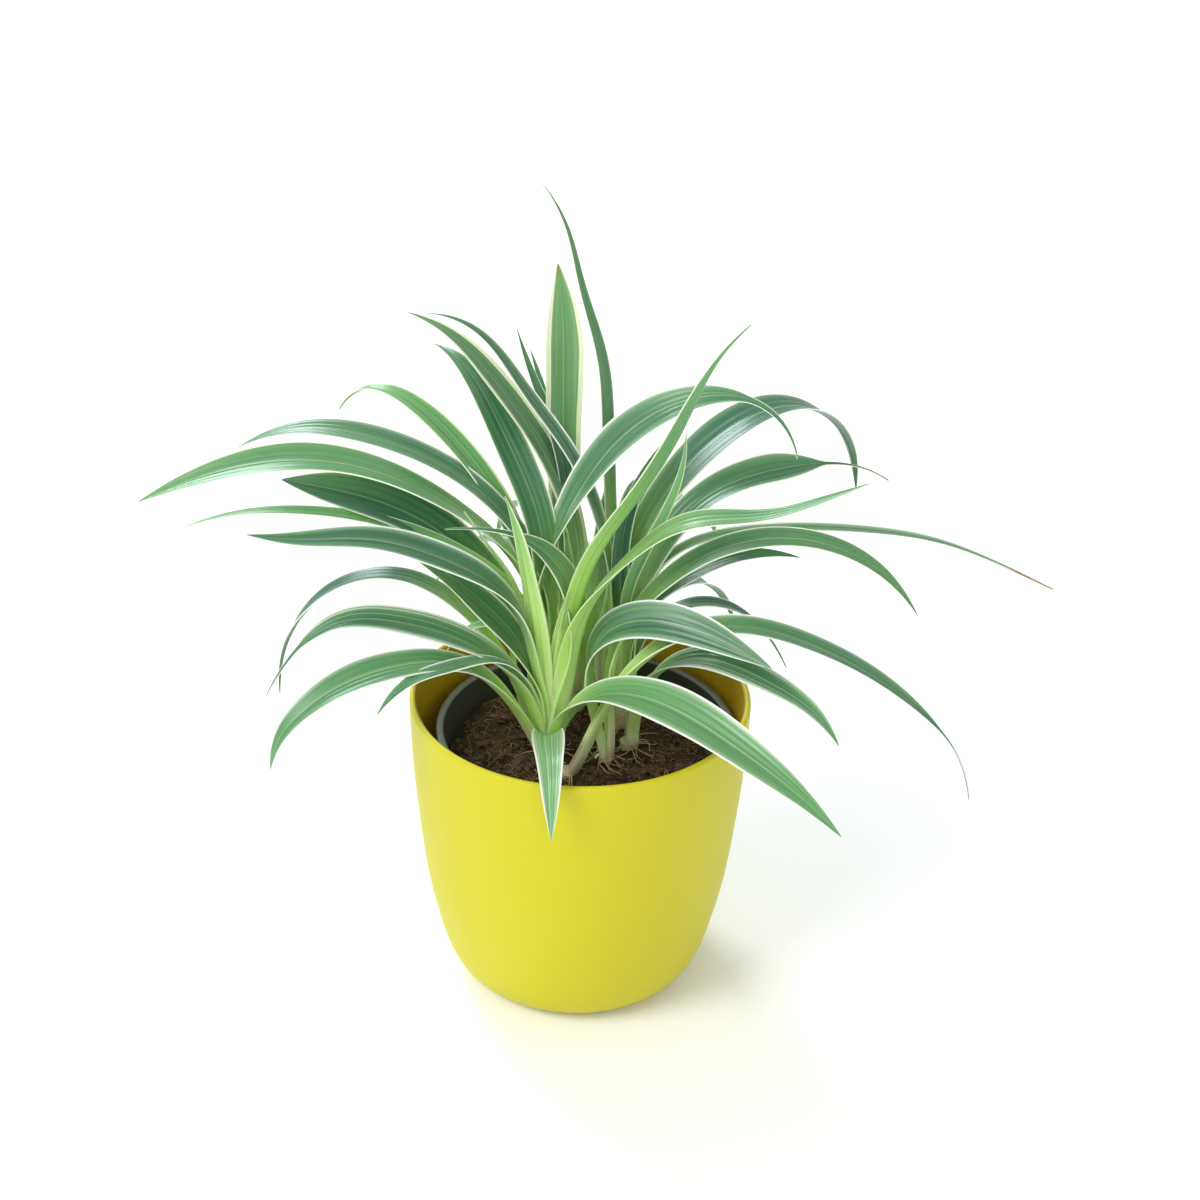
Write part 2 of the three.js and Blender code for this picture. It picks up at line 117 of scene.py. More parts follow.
class Bench:
    """The modelling steps that every piece shares."""

    @staticmethod
    def clear() -> None:
        """Deselects everything."""
        bpy.ops.object.select_all(action="DESELECT")

    @staticmethod
    def take(obj: Object) -> None:
        """Makes an object the only one selected, and active."""
        Bench.clear()
        obj.select_set(True)
        bpy.context.view_layer.objects.active = obj

    @staticmethod
    def named(name: str) -> Object:
        """Gives the active object and its data a name, and returns it."""
        obj = bpy.context.active_object
        obj.name = obj.data.name = name
        return obj

    @staticmethod
    def add(name: str, operator: Callable, **settings: object) -> Object:
        """Adds a primitive, a light or a camera, as the only thing selected.

        Args:
            name: Its name.
            operator: The operator that adds it.
            **settings: The operator's values. It is added at the origin unless they say where.

        Returns:
            The new object.
        """
        Bench.clear()
        operator(**{"location": (0, 0, 0), **settings})
        return Bench.named(name)

    @staticmethod
    def apply(obj: Object, kind: str, **settings: object) -> None:
        """Adds a modifier and applies it.

        Args:
            obj: The mesh object.
            kind: Blender's name for the modifier type.
            **settings: The modifier's values.
        """
        Bench.take(obj)
        modifier = obj.modifiers.new(kind.title(), kind)
        for key, value in settings.items():
            setattr(modifier, key, value)
        bpy.ops.object.modifier_apply(modifier=modifier.name)

    @staticmethod
    def turned(name: str, profile: list[Spot], centre: Spot, steps: int) -> Object:
        """Spins an outline about an upright axis into a closed solid.

        Args:
            name: The new object's name.
            profile: Radius and height of each point, from the axis and back to it.
            centre: The axis, along X and Y.
            steps: Faces round the solid.

        Returns:
            The turned object.
        """
        obj = Bench.add(name, bpy.ops.mesh.primitive_plane_add, size=MM)
        bpy.ops.object.mode_set(mode="EDIT")
        bpy.ops.mesh.select_all(action="SELECT")
        bpy.ops.mesh.merge(type="CENTER")
        bpy.ops.mesh.select_mode(type="VERT")
        bpy.ops.mesh.select_all(action="SELECT")
        points = [Vector((centre[0] + radius, centre[1], height)) for radius, height in profile]
        bpy.ops.transform.translate(value=points[0])
        for before, after in zip(points, points[1:]):
            bpy.ops.mesh.extrude_region_move(TRANSFORM_OT_translate={"value": after - before})
        bpy.ops.mesh.select_all(action="SELECT")
        bpy.ops.mesh.spin(steps=steps, angle=2 * math.pi, center=(*centre, 0), axis=(0, 0, 1))
        bpy.ops.mesh.select_all(action="SELECT")
        bpy.ops.mesh.remove_doubles(threshold=0.01 * MM)
        bpy.ops.mesh.normals_make_consistent(inside=False)
        bpy.ops.object.mode_set(mode="OBJECT")
        return obj

    @staticmethod
    def join(objects: list[Object], name: str) -> Object:
        """Joins several meshes into one object.

        Args:
            objects: The meshes, the first of which keeps its materials' order.
            name: The joined object's name.

        Returns:
            The joined object.
        """
        Bench.take(objects[0])
        for obj in objects[1:]:
            obj.select_set(True)
        bpy.ops.object.join()
        return Bench.named(name)

    @staticmethod
    def smooth(obj: Object, degrees: float) -> None:
        """Shades an object smooth, except across edges sharper than an angle."""
        Bench.take(obj)
        bpy.ops.object.shade_smooth_by_angle(angle=math.radians(degrees))

    @staticmethod
    def dress(obj: Object, *materials: Material) -> None:
        """Gives an object its materials, in slot order."""
        obj.data.materials.clear()
        for material in materials:
            obj.data.materials.append(material)

    @staticmethod
    def deliver(obj: Object, slot: str, *replaced: str) -> None:
        """Hands a finished piece to the frame and reports it.

        Args:
            obj: The piece.
            slot: The record's material slot, which is not used.
            *replaced: The nodes that it stands for.
        """
        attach(obj, BODY)
        if replaced:
            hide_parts(*replaced)
        log.info("%s: %d faces", obj.name, len(obj.data.polygons))

    @staticmethod
    def strands(name: str, routes: list[list[Vector]], radius: float, end_loss: float = 0.75) -> Object:
        """Makes thin round strands along routes, thinner toward their ends.

        Args:
            name: The new object's name.
            routes: The points of each strand.
            radius: The strands' radius at their thickest.
            end_loss: How much thinner their ends are, as a share of the radius.

        Returns:
            One closed mesh object that holds all the strands.
        """
        curve = Bench.add(name, bpy.ops.curve.primitive_nurbs_path_add).data
        curve.splines.clear()
        curve.bevel_depth = radius
        curve.bevel_resolution = 0
        curve.resolution_u = 3
        curve.use_fill_caps = True
        for route in routes:
            spline = curve.splines.new("NURBS")
            spline.points.add(len(route) - 1)
            for i, (point, place) in enumerate(zip(spline.points, route)):
                point.co = (*place, 1)
                point.radius = 1 - end_loss * (i / (len(route) - 1)) ** 2
            spline.use_endpoint_u = True
            spline.order_u = 3
        bpy.ops.object.convert(target="MESH")
        return Bench.named(name)


# ---- shader trees ----


class Shader:
    """Adds and links the nodes of one material or node group."""

    def __init__(self, tree: NodeTree) -> None:
        """Starts on a node tree."""
        self.tree = tree

    def node(self, kind: str, inputs: dict | None = None, **settings: object) -> Node:
        """Adds a node.

        Args:
            kind: The node's type, without its ShaderNode prefix.
            inputs: A value or an output socket for each input, by name or number.
            **settings: The node's own properties.

        Returns:
            The node.
        """
        made = self.tree.nodes.new("ShaderNode" + kind)
        for key, value in settings.items():
            setattr(made, key, value)
        for key, value in (inputs or {}).items():
            self.feed(made.inputs[key], value)
        return made

    def feed(self, socket: NodeSocket, value: object) -> None:
        """Links an output to a socket, or sets the socket's value."""
        if isinstance(value, NodeSocket):
            self.tree.links.new(socket, value)
        elif value is not None:
            socket.default_value = value

    def math(self, operation: str, *values: object, clamp: bool = False) -> NodeSocket:
        """Adds a Math node and returns its output."""
        made = self.node("Math", dict(enumerate(values)), operation=operation, use_clamp=clamp)
        return made.outputs[0]

    def plus(self, first: object, second: object, clamp: bool = False) -> NodeSocket:
        """Adds two values up and returns the output."""
        return self.math("ADD", first, second, clamp=clamp)

    def minus(self, first: object, second: object) -> NodeSocket:
        """Takes the second value from the first and returns the output."""
        return self.math("SUBTRACT", first, second)

    def times(self, first: object, second: object) -> NodeSocket:
        """Multiplies two values and returns the output."""
        return self.math("MULTIPLY", first, second)

    def swing(self, value: object, depth: object) -> NodeSocket:
        """Centres a noise on 0, scales it to a depth and returns the output."""
        return self.times(self.minus(value, 0.5), depth)

    def rise(self, value: object, low: object, high: object) -> NodeSocket:
        """Adds a smooth 0 to 1 step between two values and returns its output."""
        made = self.node("MapRange", {"Value": value, "From Min": low, "From Max": high},
                         interpolation_type="SMOOTHSTEP")
        return made.outputs["Result"]

    def fall(self, value: object, low: object, high: object) -> NodeSocket:
        """Adds a smooth 1 to 0 step between two values and returns its output."""
        return self.minus(1.0, self.rise(value, low, high))

    def mix(self, share: object, first: object, second: object) -> NodeSocket:
        """Adds a colour Mix node and returns its output."""
        made = self.node("Mix", data_type="RGBA")
        for number, value in zip((0, 6, 7), (share, first, second)):
            self.feed(made.inputs[number], value)
        return made.outputs[2]

    def vector(self, x: object, y: object, z: object) -> NodeSocket:
        """Adds a Combine XYZ node and returns its output."""
        return self.node("CombineXYZ", {"X": x, "Y": y, "Z": z}).outputs[0]

    def dress(self, principled: Node, pattern: Node, strength: float, depth: float) -> None:
        """Gives a Principled BSDF a pattern group's colour, and a bump of its height.

        Args:
            principled: The Principled BSDF.
            pattern: The node group.
            strength: How strong the bump is.
            depth: How deep the bump is.
        """
        bump = self.node("Bump", {"Strength": strength, "Distance": depth,
                                  "Height": pattern.outputs["Height"]})
        self.feed(principled.inputs["Base Color"], pattern.outputs["Color"])
        self.feed(principled.inputs["Normal"], bump.outputs["Normal"])

    def noise(self, place: object, scale: object, detail: float) -> NodeSocket:
        """Adds a Noise Texture and returns its value."""
        made = self.node("TexNoise", {"Vector": place, "Scale": scale, "Detail": detail})
        return made.outputs["Fac"]


def new_group(name: str, inputs: dict[str, str], outputs: dict[str, str]
              ) -> tuple[NodeTree, Shader, bpy_prop_collection, Node]:
    """Starts a shader node group.

    Args:
        name: The group's name.
        inputs: Each input's name and kind, which is Float, Color or Vector.
        outputs: Each output's name and kind.

    Returns:
        The group's tree, its Shader, its inputs' sockets and its output node.
    """
    tree = bpy.data.node_groups.new(name, "ShaderNodeTree")
    for direction, sockets in (("INPUT", inputs), ("OUTPUT", outputs)):
        for key, kind in sockets.items():
            tree.interface.new_socket(key, in_out=direction, socket_type="NodeSocket" + kind)
    given = tree.nodes.new("NodeGroupInput").outputs
    return tree, Shader(tree), given, tree.nodes.new("NodeGroupOutput")


def new_material(name: str, roughness: float, specular: float) -> tuple[Material, Shader, Node]:
    """Starts a material with a Principled BSDF.

    Args:
        name: The material's name.
        roughness: Its plain roughness.
        specular: Its specular level.

    Returns:
        The material, its Shader and its Principled BSDF node.
    """
    material = bpy.data.materials.new(name)
    material.use_nodes = True
    principled = material.node_tree.nodes["Principled BSDF"]
    principled.inputs["Roughness"].default_value = roughness
    principled.inputs["Specular IOR Level"].default_value = specular
    return material, Shader(material.node_tree), principled


def speckle_group() -> NodeTree:
    """Builds the fine and broad unevenness that plastic, soil, bark and fibres share.

    Returns:
        A group that mixes two colours by noise and gives a height for a bump.
    """
    tree, shader, given, out = new_group(
        "speckle",
        {"Place": "Vector", "Broad Scale": "Float", "Fine Scale": "Float", "Contrast": "Float",
         "First": "Color", "Second": "Color"},
        {"Color": "Color", "Height": "Float"})
    broad = shader.noise(given["Place"], given["Broad Scale"], 3.0)
    fine = shader.noise(given["Place"], given["Fine Scale"], 4.0)
    both = shader.plus(shader.times(broad, 0.6), shader.times(fine, 0.4))
    share = shader.plus(shader.swing(both, given["Contrast"]), 0.5, clamp=True)
    shader.feed(out.inputs["Color"], shader.mix(share, given["First"], given["Second"]))
    shader.feed(out.inputs["Height"], fine)
    return tree


@dataclass(frozen=True)
class SpeckleFinish:
    """A finish of two colours that mix by noise, with a fine bump."""

    name: str
    first: str
    second: str
    broad_scale: float
    fine_scale: float
    contrast: float
    roughness: float
    bump: float
    bump_depth: float
    specular: float = 0.5

    def material(self, group: NodeTree) -> Material:
        """Builds the material.

        Args:
            group: The speckle node group.

        Returns:
            The material.
        """
        material, shader, principled = new_material(self.name, self.roughness, self.specular)
        place = shader.node("TexCoord").outputs["Object"]
        speckle = shader.node("Group", {
            "Place": place, "Broad Scale": self.broad_scale, "Fine Scale": self.fine_scale,
            "Contrast": self.contrast, "First": shade(self.first), "Second": shade(self.second),
        }, node_tree=group)
        shader.dress(principled, speckle, self.bump, self.bump_depth)
        return material


# ---- leaf finish ----

LEAF_MARKS = ("margin", "whiteness", "stripes", "pale_base", "tone", "dry_tip", "seed")
LEAF_COLOURS = ("deep", "fresh", "base", "root", "cream", "white", "dry")


@dataclass(frozen=True)
class Marks:
    """How one leaf is coloured. Shares are of its half width across and of its length along."""

    margin: float = 0.075  # width of the pale edge
    whiteness: float = 0.4  # 0 is a cream edge, 1 a white one
    stripes: float = 0.12  # how strong the pale lines inside the blade are
    pale_base: float = 0.46  # how far up the pale base reaches
    tone: float = 0.35  # 0 is deep green, 1 is fresh green
    dry_tip: float = 0.0  # how much of the tip is dry and brown


class Look(Enum):
    """The kinds of leaf on the plant."""

    CREAM = Marks()
    WHITE = Marks(margin=0.085, whiteness=0.9, stripes=0.2, pale_base=0.4, tone=0.3)
    STRIPED = Marks(margin=0.12, whiteness=0.9, stripes=1.0, pale_base=0.36, tone=0.35)
    DARK = Marks(margin=0.06, whiteness=0.6, stripes=0.05, pale_base=0.46, tone=0.12)
    FRESH = Marks(margin=0.07, whiteness=0.35, stripes=0.1, pale_base=0.5, tone=0.7)
    LIGHT = Marks(margin=0.06, whiteness=0.3, stripes=0.15, pale_base=0.65, tone=0.85)
    PALE = Marks(margin=0.2, whiteness=0.2, stripes=0.6, pale_base=0.95, tone=1.0)


@dataclass(frozen=True)
class LeafFinish:
    """The two faces of a leaf: how green, how pale and how glossy they are."""

    name: str
    deep: str
    fresh: str
    base: str
    root: str
    cream: str
    white: str
    dry: str
    roughness: float
    specular: float
    bump: float
    glow: float  # how much light passes through the blade
    glow_radii: Colour = (0.8, 1.0, 0.4)  # how far each colour of light spreads in it
    glow_scale: float = 1.5 * MM
    bump_depth: float = 0.15 * MM

    def material(self, group: NodeTree) -> Material:
        """Builds the material, which reads each leaf's marks from its mesh.

        Args:
            group: The leaf pattern node group.

        Returns:
            The material.
        """
        material, shader, principled = new_material(self.name, self.roughness, self.specular)
        principled.inputs["Subsurface Weight"].default_value = self.glow
        principled.inputs["Subsurface Radius"].default_value = self.glow_radii
        principled.inputs["Subsurface Scale"].default_value = self.glow_scale
        uv = shader.node("UVMap", uv_map="UVMap").outputs[0]
        pattern = shader.node("Group", {"Place": uv}, node_tree=group)
        for mark in LEAF_MARKS:
            read = shader.node("Attribute", attribute_name=mark).outputs["Fac"]
            shader.feed(pattern.inputs[mark], read)
        for key in LEAF_COLOURS:
            shader.feed(pattern.inputs[key], shade(getattr(self, key)))
        shader.dress(principled, pattern, self.bump, self.bump_depth)
        shader.feed(principled.inputs["Roughness"], pattern.outputs["Roughness"])
        return material


@dataclass(frozen=True)
class Streaks:
    """Noise drawn out along a leaf."""

    lines: float  # how many lie across half the blade
    runs: float  # how often they change along it
    shift: float  # sets one noise apart from another
    depth: float  # how much they change what they act on
    detail: float = 2.0


class LeafPattern:
    """A leaf's pattern: veins, midrib, pale edges, stripes, pale base and dry tip.

    Widths are shares of the half width. A pair of numbers says from where to where along the leaf
    something changes, in shares of its length, or for the three fades of the pale base's reach.
    """

    veins = Streaks(22.0, 1.5, 0.0, 0.6)
    bands = Streaks(2.4, 2.2, 17.0, 0.8)
    stripes = Streaks(7.0, 0.5, 31.0, 0.35, detail=0.0)
    wander = Streaks(0.5, 5.0, 53.0, 0.64)  # changes the margin's width
    stripe_levels = (0.56, 0.72)  # noise at which a stripe starts, and at which it is full
    young = (0.15, 0.7)
    young_tone = 0.4  # how much fresher the lower green is
    rib_width = 0.05
    rib_depth = 0.3
    whitening = (0.1, 0.5)
    edge_in = 0.035  # how softly the pale edge starts on either side of its line
    edge_out = 0.025
    second_line = 0.12  # a paler line this far inside the margin's line
    second_width = 0.04
    second_depth = 0.5
    sheen_band_width = 4.5  # a painted whitish sheen inside the edge, in widths of the margin
    sheen_band_depth = 0.35
    vein_reach = 0.35  # how far the veins draw the pale base out
    root_fade = (0.02, 0.45)
    base_fade = (0.35, 1.2)
    edge_fade = (0.3, 1.2)
    edge_least = 0.15  # how much of the pale edge shows at the root
    raggedness = 0.05
    earthy = (0.015, 0.075)
    earthy_depth = 0.7
    dry_fade = 0.03
    roughness = 0.24
    vein_roughness = 0.14  # added on the veins
    dry_roughness = 0.4  # added where it is dry
    seed_spread = 40.0  # sets each leaf's noise apart from the next one's
    no_dry_tip = 0.001  # a leaf with less has none

    def __init__(self) -> None:
        """Starts the group and reads where each point lies on its leaf."""
        self.tree, self.shader, self.given, self.out = new_group(
            "leaf pattern",
            {"Place": "Vector", **dict.fromkeys(LEAF_MARKS, "Float"),
             **dict.fromkeys(LEAF_COLOURS, "Color")},
            {"Color": "Color", "Roughness": "Float", "Height": "Float"})
        uv = self.shader.node("SeparateXYZ", {0: self.given["Place"]}).outputs
        self.across = self.shader.minus(self.shader.times(uv["X"], 2.0), 1.0)
        self.side = self.shader.math("ABSOLUTE", self.across)
        self.along = uv["Y"]
        self.seed = self.shader.times(self.given["seed"], self.seed_spread)
        self.vein_noise = self.streaks(self.veins)
        self.vein_part = self.shader.swing(self.vein_noise, self.veins.depth)
        self.band_noise = self.streaks(self.bands)

    def streaks(self, kind: Streaks) -> NodeSocket:
        """Adds noise drawn out along the leaf, other on each leaf, and returns it."""
        shader = self.shader
        x = shader.plus(shader.times(self.across, kind.lines), shader.plus(self.seed, kind.shift))
        place = shader.vector(x, shader.times(self.along, kind.runs), self.seed)
        return shader.noise(place, 1.0, kind.detail)

    def green(self) -> NodeSocket:
        """Mixes the two greens by tone, age, veins and bands, and draws the midrib.

        Returns:
            The green part's colour.
        """
        shader, given = self.shader, self.given
        young = shader.times(shader.fall(self.along, *self.young), self.young_tone)
        uneven = shader.plus(self.vein_part, shader.swing(self.band_noise, self.bands.depth))
        share = shader.plus(shader.plus(given["tone"], young), uneven, clamp=True)
        rib = shader.times(shader.fall(self.side, 0.0, self.rib_width), self.rib_depth)
        return shader.mix(rib, shader.mix(share, given["deep"], given["fresh"]), given["cream"])

    def edge(self) -> NodeSocket:
        """Draws the pale margin, a second line inside it and a soft band of painted sheen between.

        Returns:
            How much of the edge's colour shows.
        """
        shader, given = self.shader, self.given
        wander = shader.plus(1.0, shader.swing(self.streaks(self.wander), self.wander.depth))
        line = shader.minus(1.0, shader.times(given["margin"], wander))
        edge = shader.rise(self.side, shader.minus(line, self.edge_in), shader.plus(line, self.edge_out))
        off_line = shader.math("ABSOLUTE", shader.minus(self.side, shader.minus(line, self.second_line)))
        second = shader.times(shader.fall(off_line, 0.0, self.second_width),
                              shader.times(given["stripes"], self.second_depth))
        # Painted sheen: a soft whitish band inside the edge of white-edged leaves, standing in for the
        # gloss along their margins.
        sheen_band_start = shader.minus(1.0, shader.times(given["margin"], self.sheen_band_width))
        painted_sheen = shader.times(shader.rise(self.side, sheen_band_start, 1.0),
                             shader.times(given["whiteness"], self.sheen_band_depth))
        return shader.math("MAXIMUM", shader.math("MAXIMUM", edge, second), painted_sheen)

    def body(self) -> NodeSocket:
        """Lays the stripes, the pale base and the edge on the green.

        Returns:
            The leaf's colour without its dry parts.
        """
        shader, given = self.shader, self.given
        whitened = shader.times(given["whiteness"], shader.rise(self.along, *self.whitening))
        edge_colour = shader.mix(whitened, given["cream"], given["white"])
        line_noise = self.streaks(self.stripes)
        stripes = shader.times(shader.rise(line_noise, *self.stripe_levels), given["stripes"])
        green = shader.mix(shader.times(stripes, self.stripes.depth), self.green(), edge_colour)
        reach = shader.plus(shader.math("DIVIDE", self.along, given["pale_base"]),
                            shader.times(self.vein_part, self.vein_reach))
        foot = shader.mix(shader.rise(reach, *self.root_fade), given["root"], given["base"])
        body = shader.mix(shader.rise(reach, *self.base_fade), foot, green)
        shown = shader.plus(self.edge_least,
                            shader.times(shader.rise(reach, *self.edge_fade), 1 - self.edge_least))
        return shader.mix(shader.times(self.edge(), shown), body, edge_colour)

    def dry_tip(self) -> NodeSocket:
        """Draws the ragged dry tip, where the leaf has one.

        Returns:
            How dry the leaf is.
        """
        shader, given = self.shader, self.given
        ragged = shader.plus(self.along, shader.swing(self.band_noise, self.raggedness))
        start = shader.minus(1.0, given["dry_tip"])
        return shader.times(shader.rise(ragged, start, shader.plus(start, self.dry_fade)),
                            shader.math("GREATER_THAN", given["dry_tip"], self.no_dry_tip))

    def build(self) -> NodeTree:
        """Puts the pattern together.

        Returns:
            A group that gives the leaf's colour, roughness and height.
        """
        shader, dry_colour = self.shader, self.given["dry"]
        uneven = shader.plus(self.along, shader.times(self.vein_part, self.raggedness))
        earthy = shader.times(shader.fall(uneven, *self.earthy), self.earthy_depth)
        dry = self.dry_tip()
        colour = shader.mix(dry, shader.mix(earthy, self.body(), dry_colour), dry_colour)
        fresh = shader.plus(self.roughness, shader.times(self.vein_noise, self.vein_roughness))
        roughness = shader.plus(fresh, shader.times(dry, self.dry_roughness))
        shader.feed(self.out.inputs["Color"], colour)
        shader.feed(self.out.inputs["Roughness"], roughness)
        shader.feed(self.out.inputs["Height"], self.vein_noise)
        return self.tree


# ---- shoots ----


@dataclass(frozen=True)
class BladeForm:
    """The form that all blades share. Shares are of a blade's length, angles in degrees."""

    root_out: float = 3 * MM  # a blade leaves its crown this far from the axis
    root_height: float = 99 * MM
    steps: int = 400  # for adding up the midrib's course
    taper: float = 1.9
    tip_width: float = 0.03
    tail_width: float = 0.13  # where a drawn-out tip starts
    flat_fold: float = 12.0
    root_fold: float = 43.0  # added to the flat fold at the root
    fold_end: float = 0.45
    fold_ease: float = 1.3
    crease: float = 0.1  # how rounded the midrib's crease is, in half widths
    roundness: float = 0.35  # 0 is a sharp fold, 1 a round channel
    root_roundness: float = 0.5  # added at the root
    edge_thickness: float = 0.4 * MM
    rib_thickness: float = 0.95 * MM
    root_thickness: float = 1.1 * MM  # added at the root
    rib_width: float = 0.14  # in half widths
    thin_from: float = 0.6
    tip_thinning: float = 0.4
    edge_thinning: float = 0.6  # how much less of the root's thickness an edge has
    pleats: int = 3  # ridges on each side of the midrib
    pleat_height: float = 0.1 * MM
    ruffle: float = 0.5 * MM  # of a blade as wide as the next value
    ruffled_width: float = 18 * MM
    ruffle_waves: Span = (1.5, 3.5)  # fewest and most along a blade
    tone_spread: float = 0.08
    relief_start: Span = (0.05, 0.3)  # where pleats and ruffle set in
    relief_end: Span = (0.8, 1.0)
    cells_along: int = 84
    cells_across: int = 30
    narrow: float = 10 * MM  # a blade narrower than this gets fewer cells across
    cells_narrow: int = 18


FORM = BladeForm()


@dataclass(frozen=True)
class Leaf:
    """One strap leaf. Its heading runs counter-clockwise from +X and its slopes above level, in degrees."""

    heading: Span  # at the root and at the tip
    slopes: tuple[float, ...]  # at even steps from root to tip
    roll: tuple[float, ...]  # turns about the midrib, at even steps too
    length: float
    width: float
    look: Look = Look.CREAM
    widest: float = 0.6  # where along it the blade is widest
    tail: float = 0.0  # how much of the length is a thin, drawn-out tip
    root: float = 0.5  # width at the root as a share of the greatest
    marks: dict[str, float] = field(default_factory=dict)  # its own, in place of its look's
    pleat: float = 1.0  # how deep its pleats are

    def direction(self, share: np.ndarray) -> tuple[np.ndarray, np.ndarray]:
        """Gives the way that the midrib points, and the level way across it.

        Args:
            share: Shares of the length.

        Returns:
            Unit vectors along and across, a row each.
        """
        turn = np.radians(self.heading[0] + (self.heading[1] - self.heading[0]) * share)
        rise = np.radians(smooth_through(self.slopes, share))
        along = np.stack([np.cos(rise) * np.cos(turn), np.cos(rise) * np.sin(turn), np.sin(rise)], 1)
        level = np.stack([-np.sin(turn), np.cos(turn), 0 * turn], 1)
        return along, level

    def midrib(self, foot: Spot, share: np.ndarray) -> np.ndarray:
        """Gives the midrib's place at shares of the length.

        Args:
            foot: The crown's axis.
            share: Shares of the length.

        Returns:
            A place for each share, a row each.
        """
        middles = (np.arange(FORM.steps) + 0.5) / FORM.steps
        walked = np.cumsum(self.direction(middles)[0], 0) * self.length / FORM.steps
        leaving = around(foot, FORM.root_out, math.radians(self.heading[0]))
        root = np.array([*leaving, FORM.root_height])
        places = np.vstack([root, root + walked])
        known = np.linspace(0, 1, FORM.steps + 1)
        return np.stack([np.interp(share, known, places[:, k]) for k in range(3)], 1)

    def half_width(self, share: np.ndarray) -> np.ndarray:
        """Gives half the blade's width at shares of its length.

        Args:
            share: Shares of the length.

        Returns:
            Half the width at each.
        """
        grown = self.root + (1 - self.root) * ease(0, self.widest, share)
        end = 1 - self.tail
        past = np.clip((share - self.widest) / (end - self.widest), 0, 1) ** FORM.taper
        half = self.width / 2 * grown
        if not self.tail:
            return half * (1 - (1 - FORM.tip_width) * past)
        drawn_out = np.clip((share - end) / self.tail, 0, 1)
        thinned = 1 - (1 - FORM.tip_width / FORM.tail_width) * drawn_out
        return half * (1 - (1 - FORM.tail_width) * past) * thinned

    def fold(self, share: np.ndarray) -> tuple[np.ndarray, np.ndarray]:
        """Gives how far each half rises from flat, in radians, and how closed the root is."""
        opening = np.clip(1 - share / FORM.fold_end, 0, 1)
        return np.radians(FORM.flat_fold + FORM.root_fold * opening ** FORM.fold_ease), opening

    def build(self, foot: Spot, number: int) -> Object:
        """Models the blade from a grid that is folded, bent and given its thickness.

        Args:
            foot: The crown's axis.
            number: The leaf's number on the plant, which seeds its unevenness.

        Returns:
            The blade's object.
        """
        rng = random.Random(number)
        cells = FORM.cells_narrow if self.width < FORM.narrow else FORM.cells_across
        obj = Bench.add(f"blade_{number}", bpy.ops.mesh.primitive_grid_add,
                        x_subdivisions=cells, y_subdivisions=FORM.cells_along, size=2)
        mesh = obj.data
        flat = np.zeros(3 * len(mesh.vertices))
        mesh.vertices.foreach_get("co", flat)
        side, share = flat.reshape(-1, 3)[:, 0], (flat.reshape(-1, 3)[:, 1] + 1) / 2
        mesh.vertices.foreach_set("co", self.surface(foot, side, share, rng).ravel())
        thick = obj.vertex_groups.new(name="thick")
        most = FORM.rib_thickness + FORM.root_thickness
        for index, weight in enumerate(self.thickness(side, share) / most):
            thick.add([index], float(weight), "REPLACE")
        Bench.apply(obj, "SOLIDIFY", thickness=most, offset=-1.0, vertex_group=thick.name,
                    thickness_vertex_group=0.0, material_offset=1, use_even_offset=False)
        obj.vertex_groups.clear()
        self.mark(mesh, rng)
        return obj

    def surface(self, foot: Spot, side: np.ndarray, share: np.ndarray,
                rng: random.Random) -> np.ndarray:
        """Places the points of the blade's upper face.

        Args:
            foot: The crown's axis.
            side: Where each point is across, -1 to 1.
            share: Where it is along, 0 to 1.
            rng: Draws the blade's unevenness.

        Returns:
            A place for each point, a row each.
        """
        along, level = self.direction(share)
        fold, opening = self.fold(share)
        roll = np.radians(smooth_through(self.roll, share))[:, None]
        across = level * np.cos(roll) + np.cross(along, level) * np.sin(roll)
        up = np.cross(along, across)
        half = self.half_width(share)
        bend = 2 * fold
        round_out, round_up = np.sin(bend * side) / bend, (1 - np.cos(bend * side)) / bend
        crease = np.sqrt(side ** 2 + FORM.crease ** 2) - FORM.crease
        roundness = FORM.roundness + FORM.root_roundness * opening
        out = half * (roundness * round_out + (1 - roundness) * side * np.cos(fold))
        rise = half * (roundness * round_up + (1 - roundness) * crease * np.sin(fold))
        pleat = np.cos(2 * math.pi * FORM.pleats * np.abs(side)) - 1
        relief = ease(*FORM.relief_start, share) * (1 - ease(*FORM.relief_end, share))
        rise += FORM.pleat_height * self.pleat * relief * pleat * (1 - np.abs(side) ** 4)
        waves = [np.sin(2 * math.pi * (rng.uniform(*FORM.ruffle_waves) * share + rng.random()))
                 for _ in range(2)]
        edge = np.where(side > 0, *waves) * side ** 2
        rise += FORM.ruffle * (self.width / FORM.ruffled_width) * relief * edge
        return (self.midrib(foot, share) - across * out[:, None] + up * rise[:, None]
                + up * (self.thickness(0 * side, share) / 2)[:, None])

    def thickness(self, side: np.ndarray, share: np.ndarray) -> np.ndarray:
        """Gives the blade's thickness.

        Args:
            side: Where each point is across, -1 to 1.
            share: Where it is along, 0 to 1.

        Returns:
            The thickness at each point.
        """
        opening = self.fold(share)[1]
        rib = np.exp(-(side / FORM.rib_width) ** 2)
        blade = FORM.edge_thickness + (FORM.rib_thickness - FORM.edge_thickness) * rib
        blade *= 1 - FORM.tip_thinning * ease(FORM.thin_from, 1.0, share)
        return blade + FORM.root_thickness * opening * (1 - FORM.edge_thinning * side ** 2)

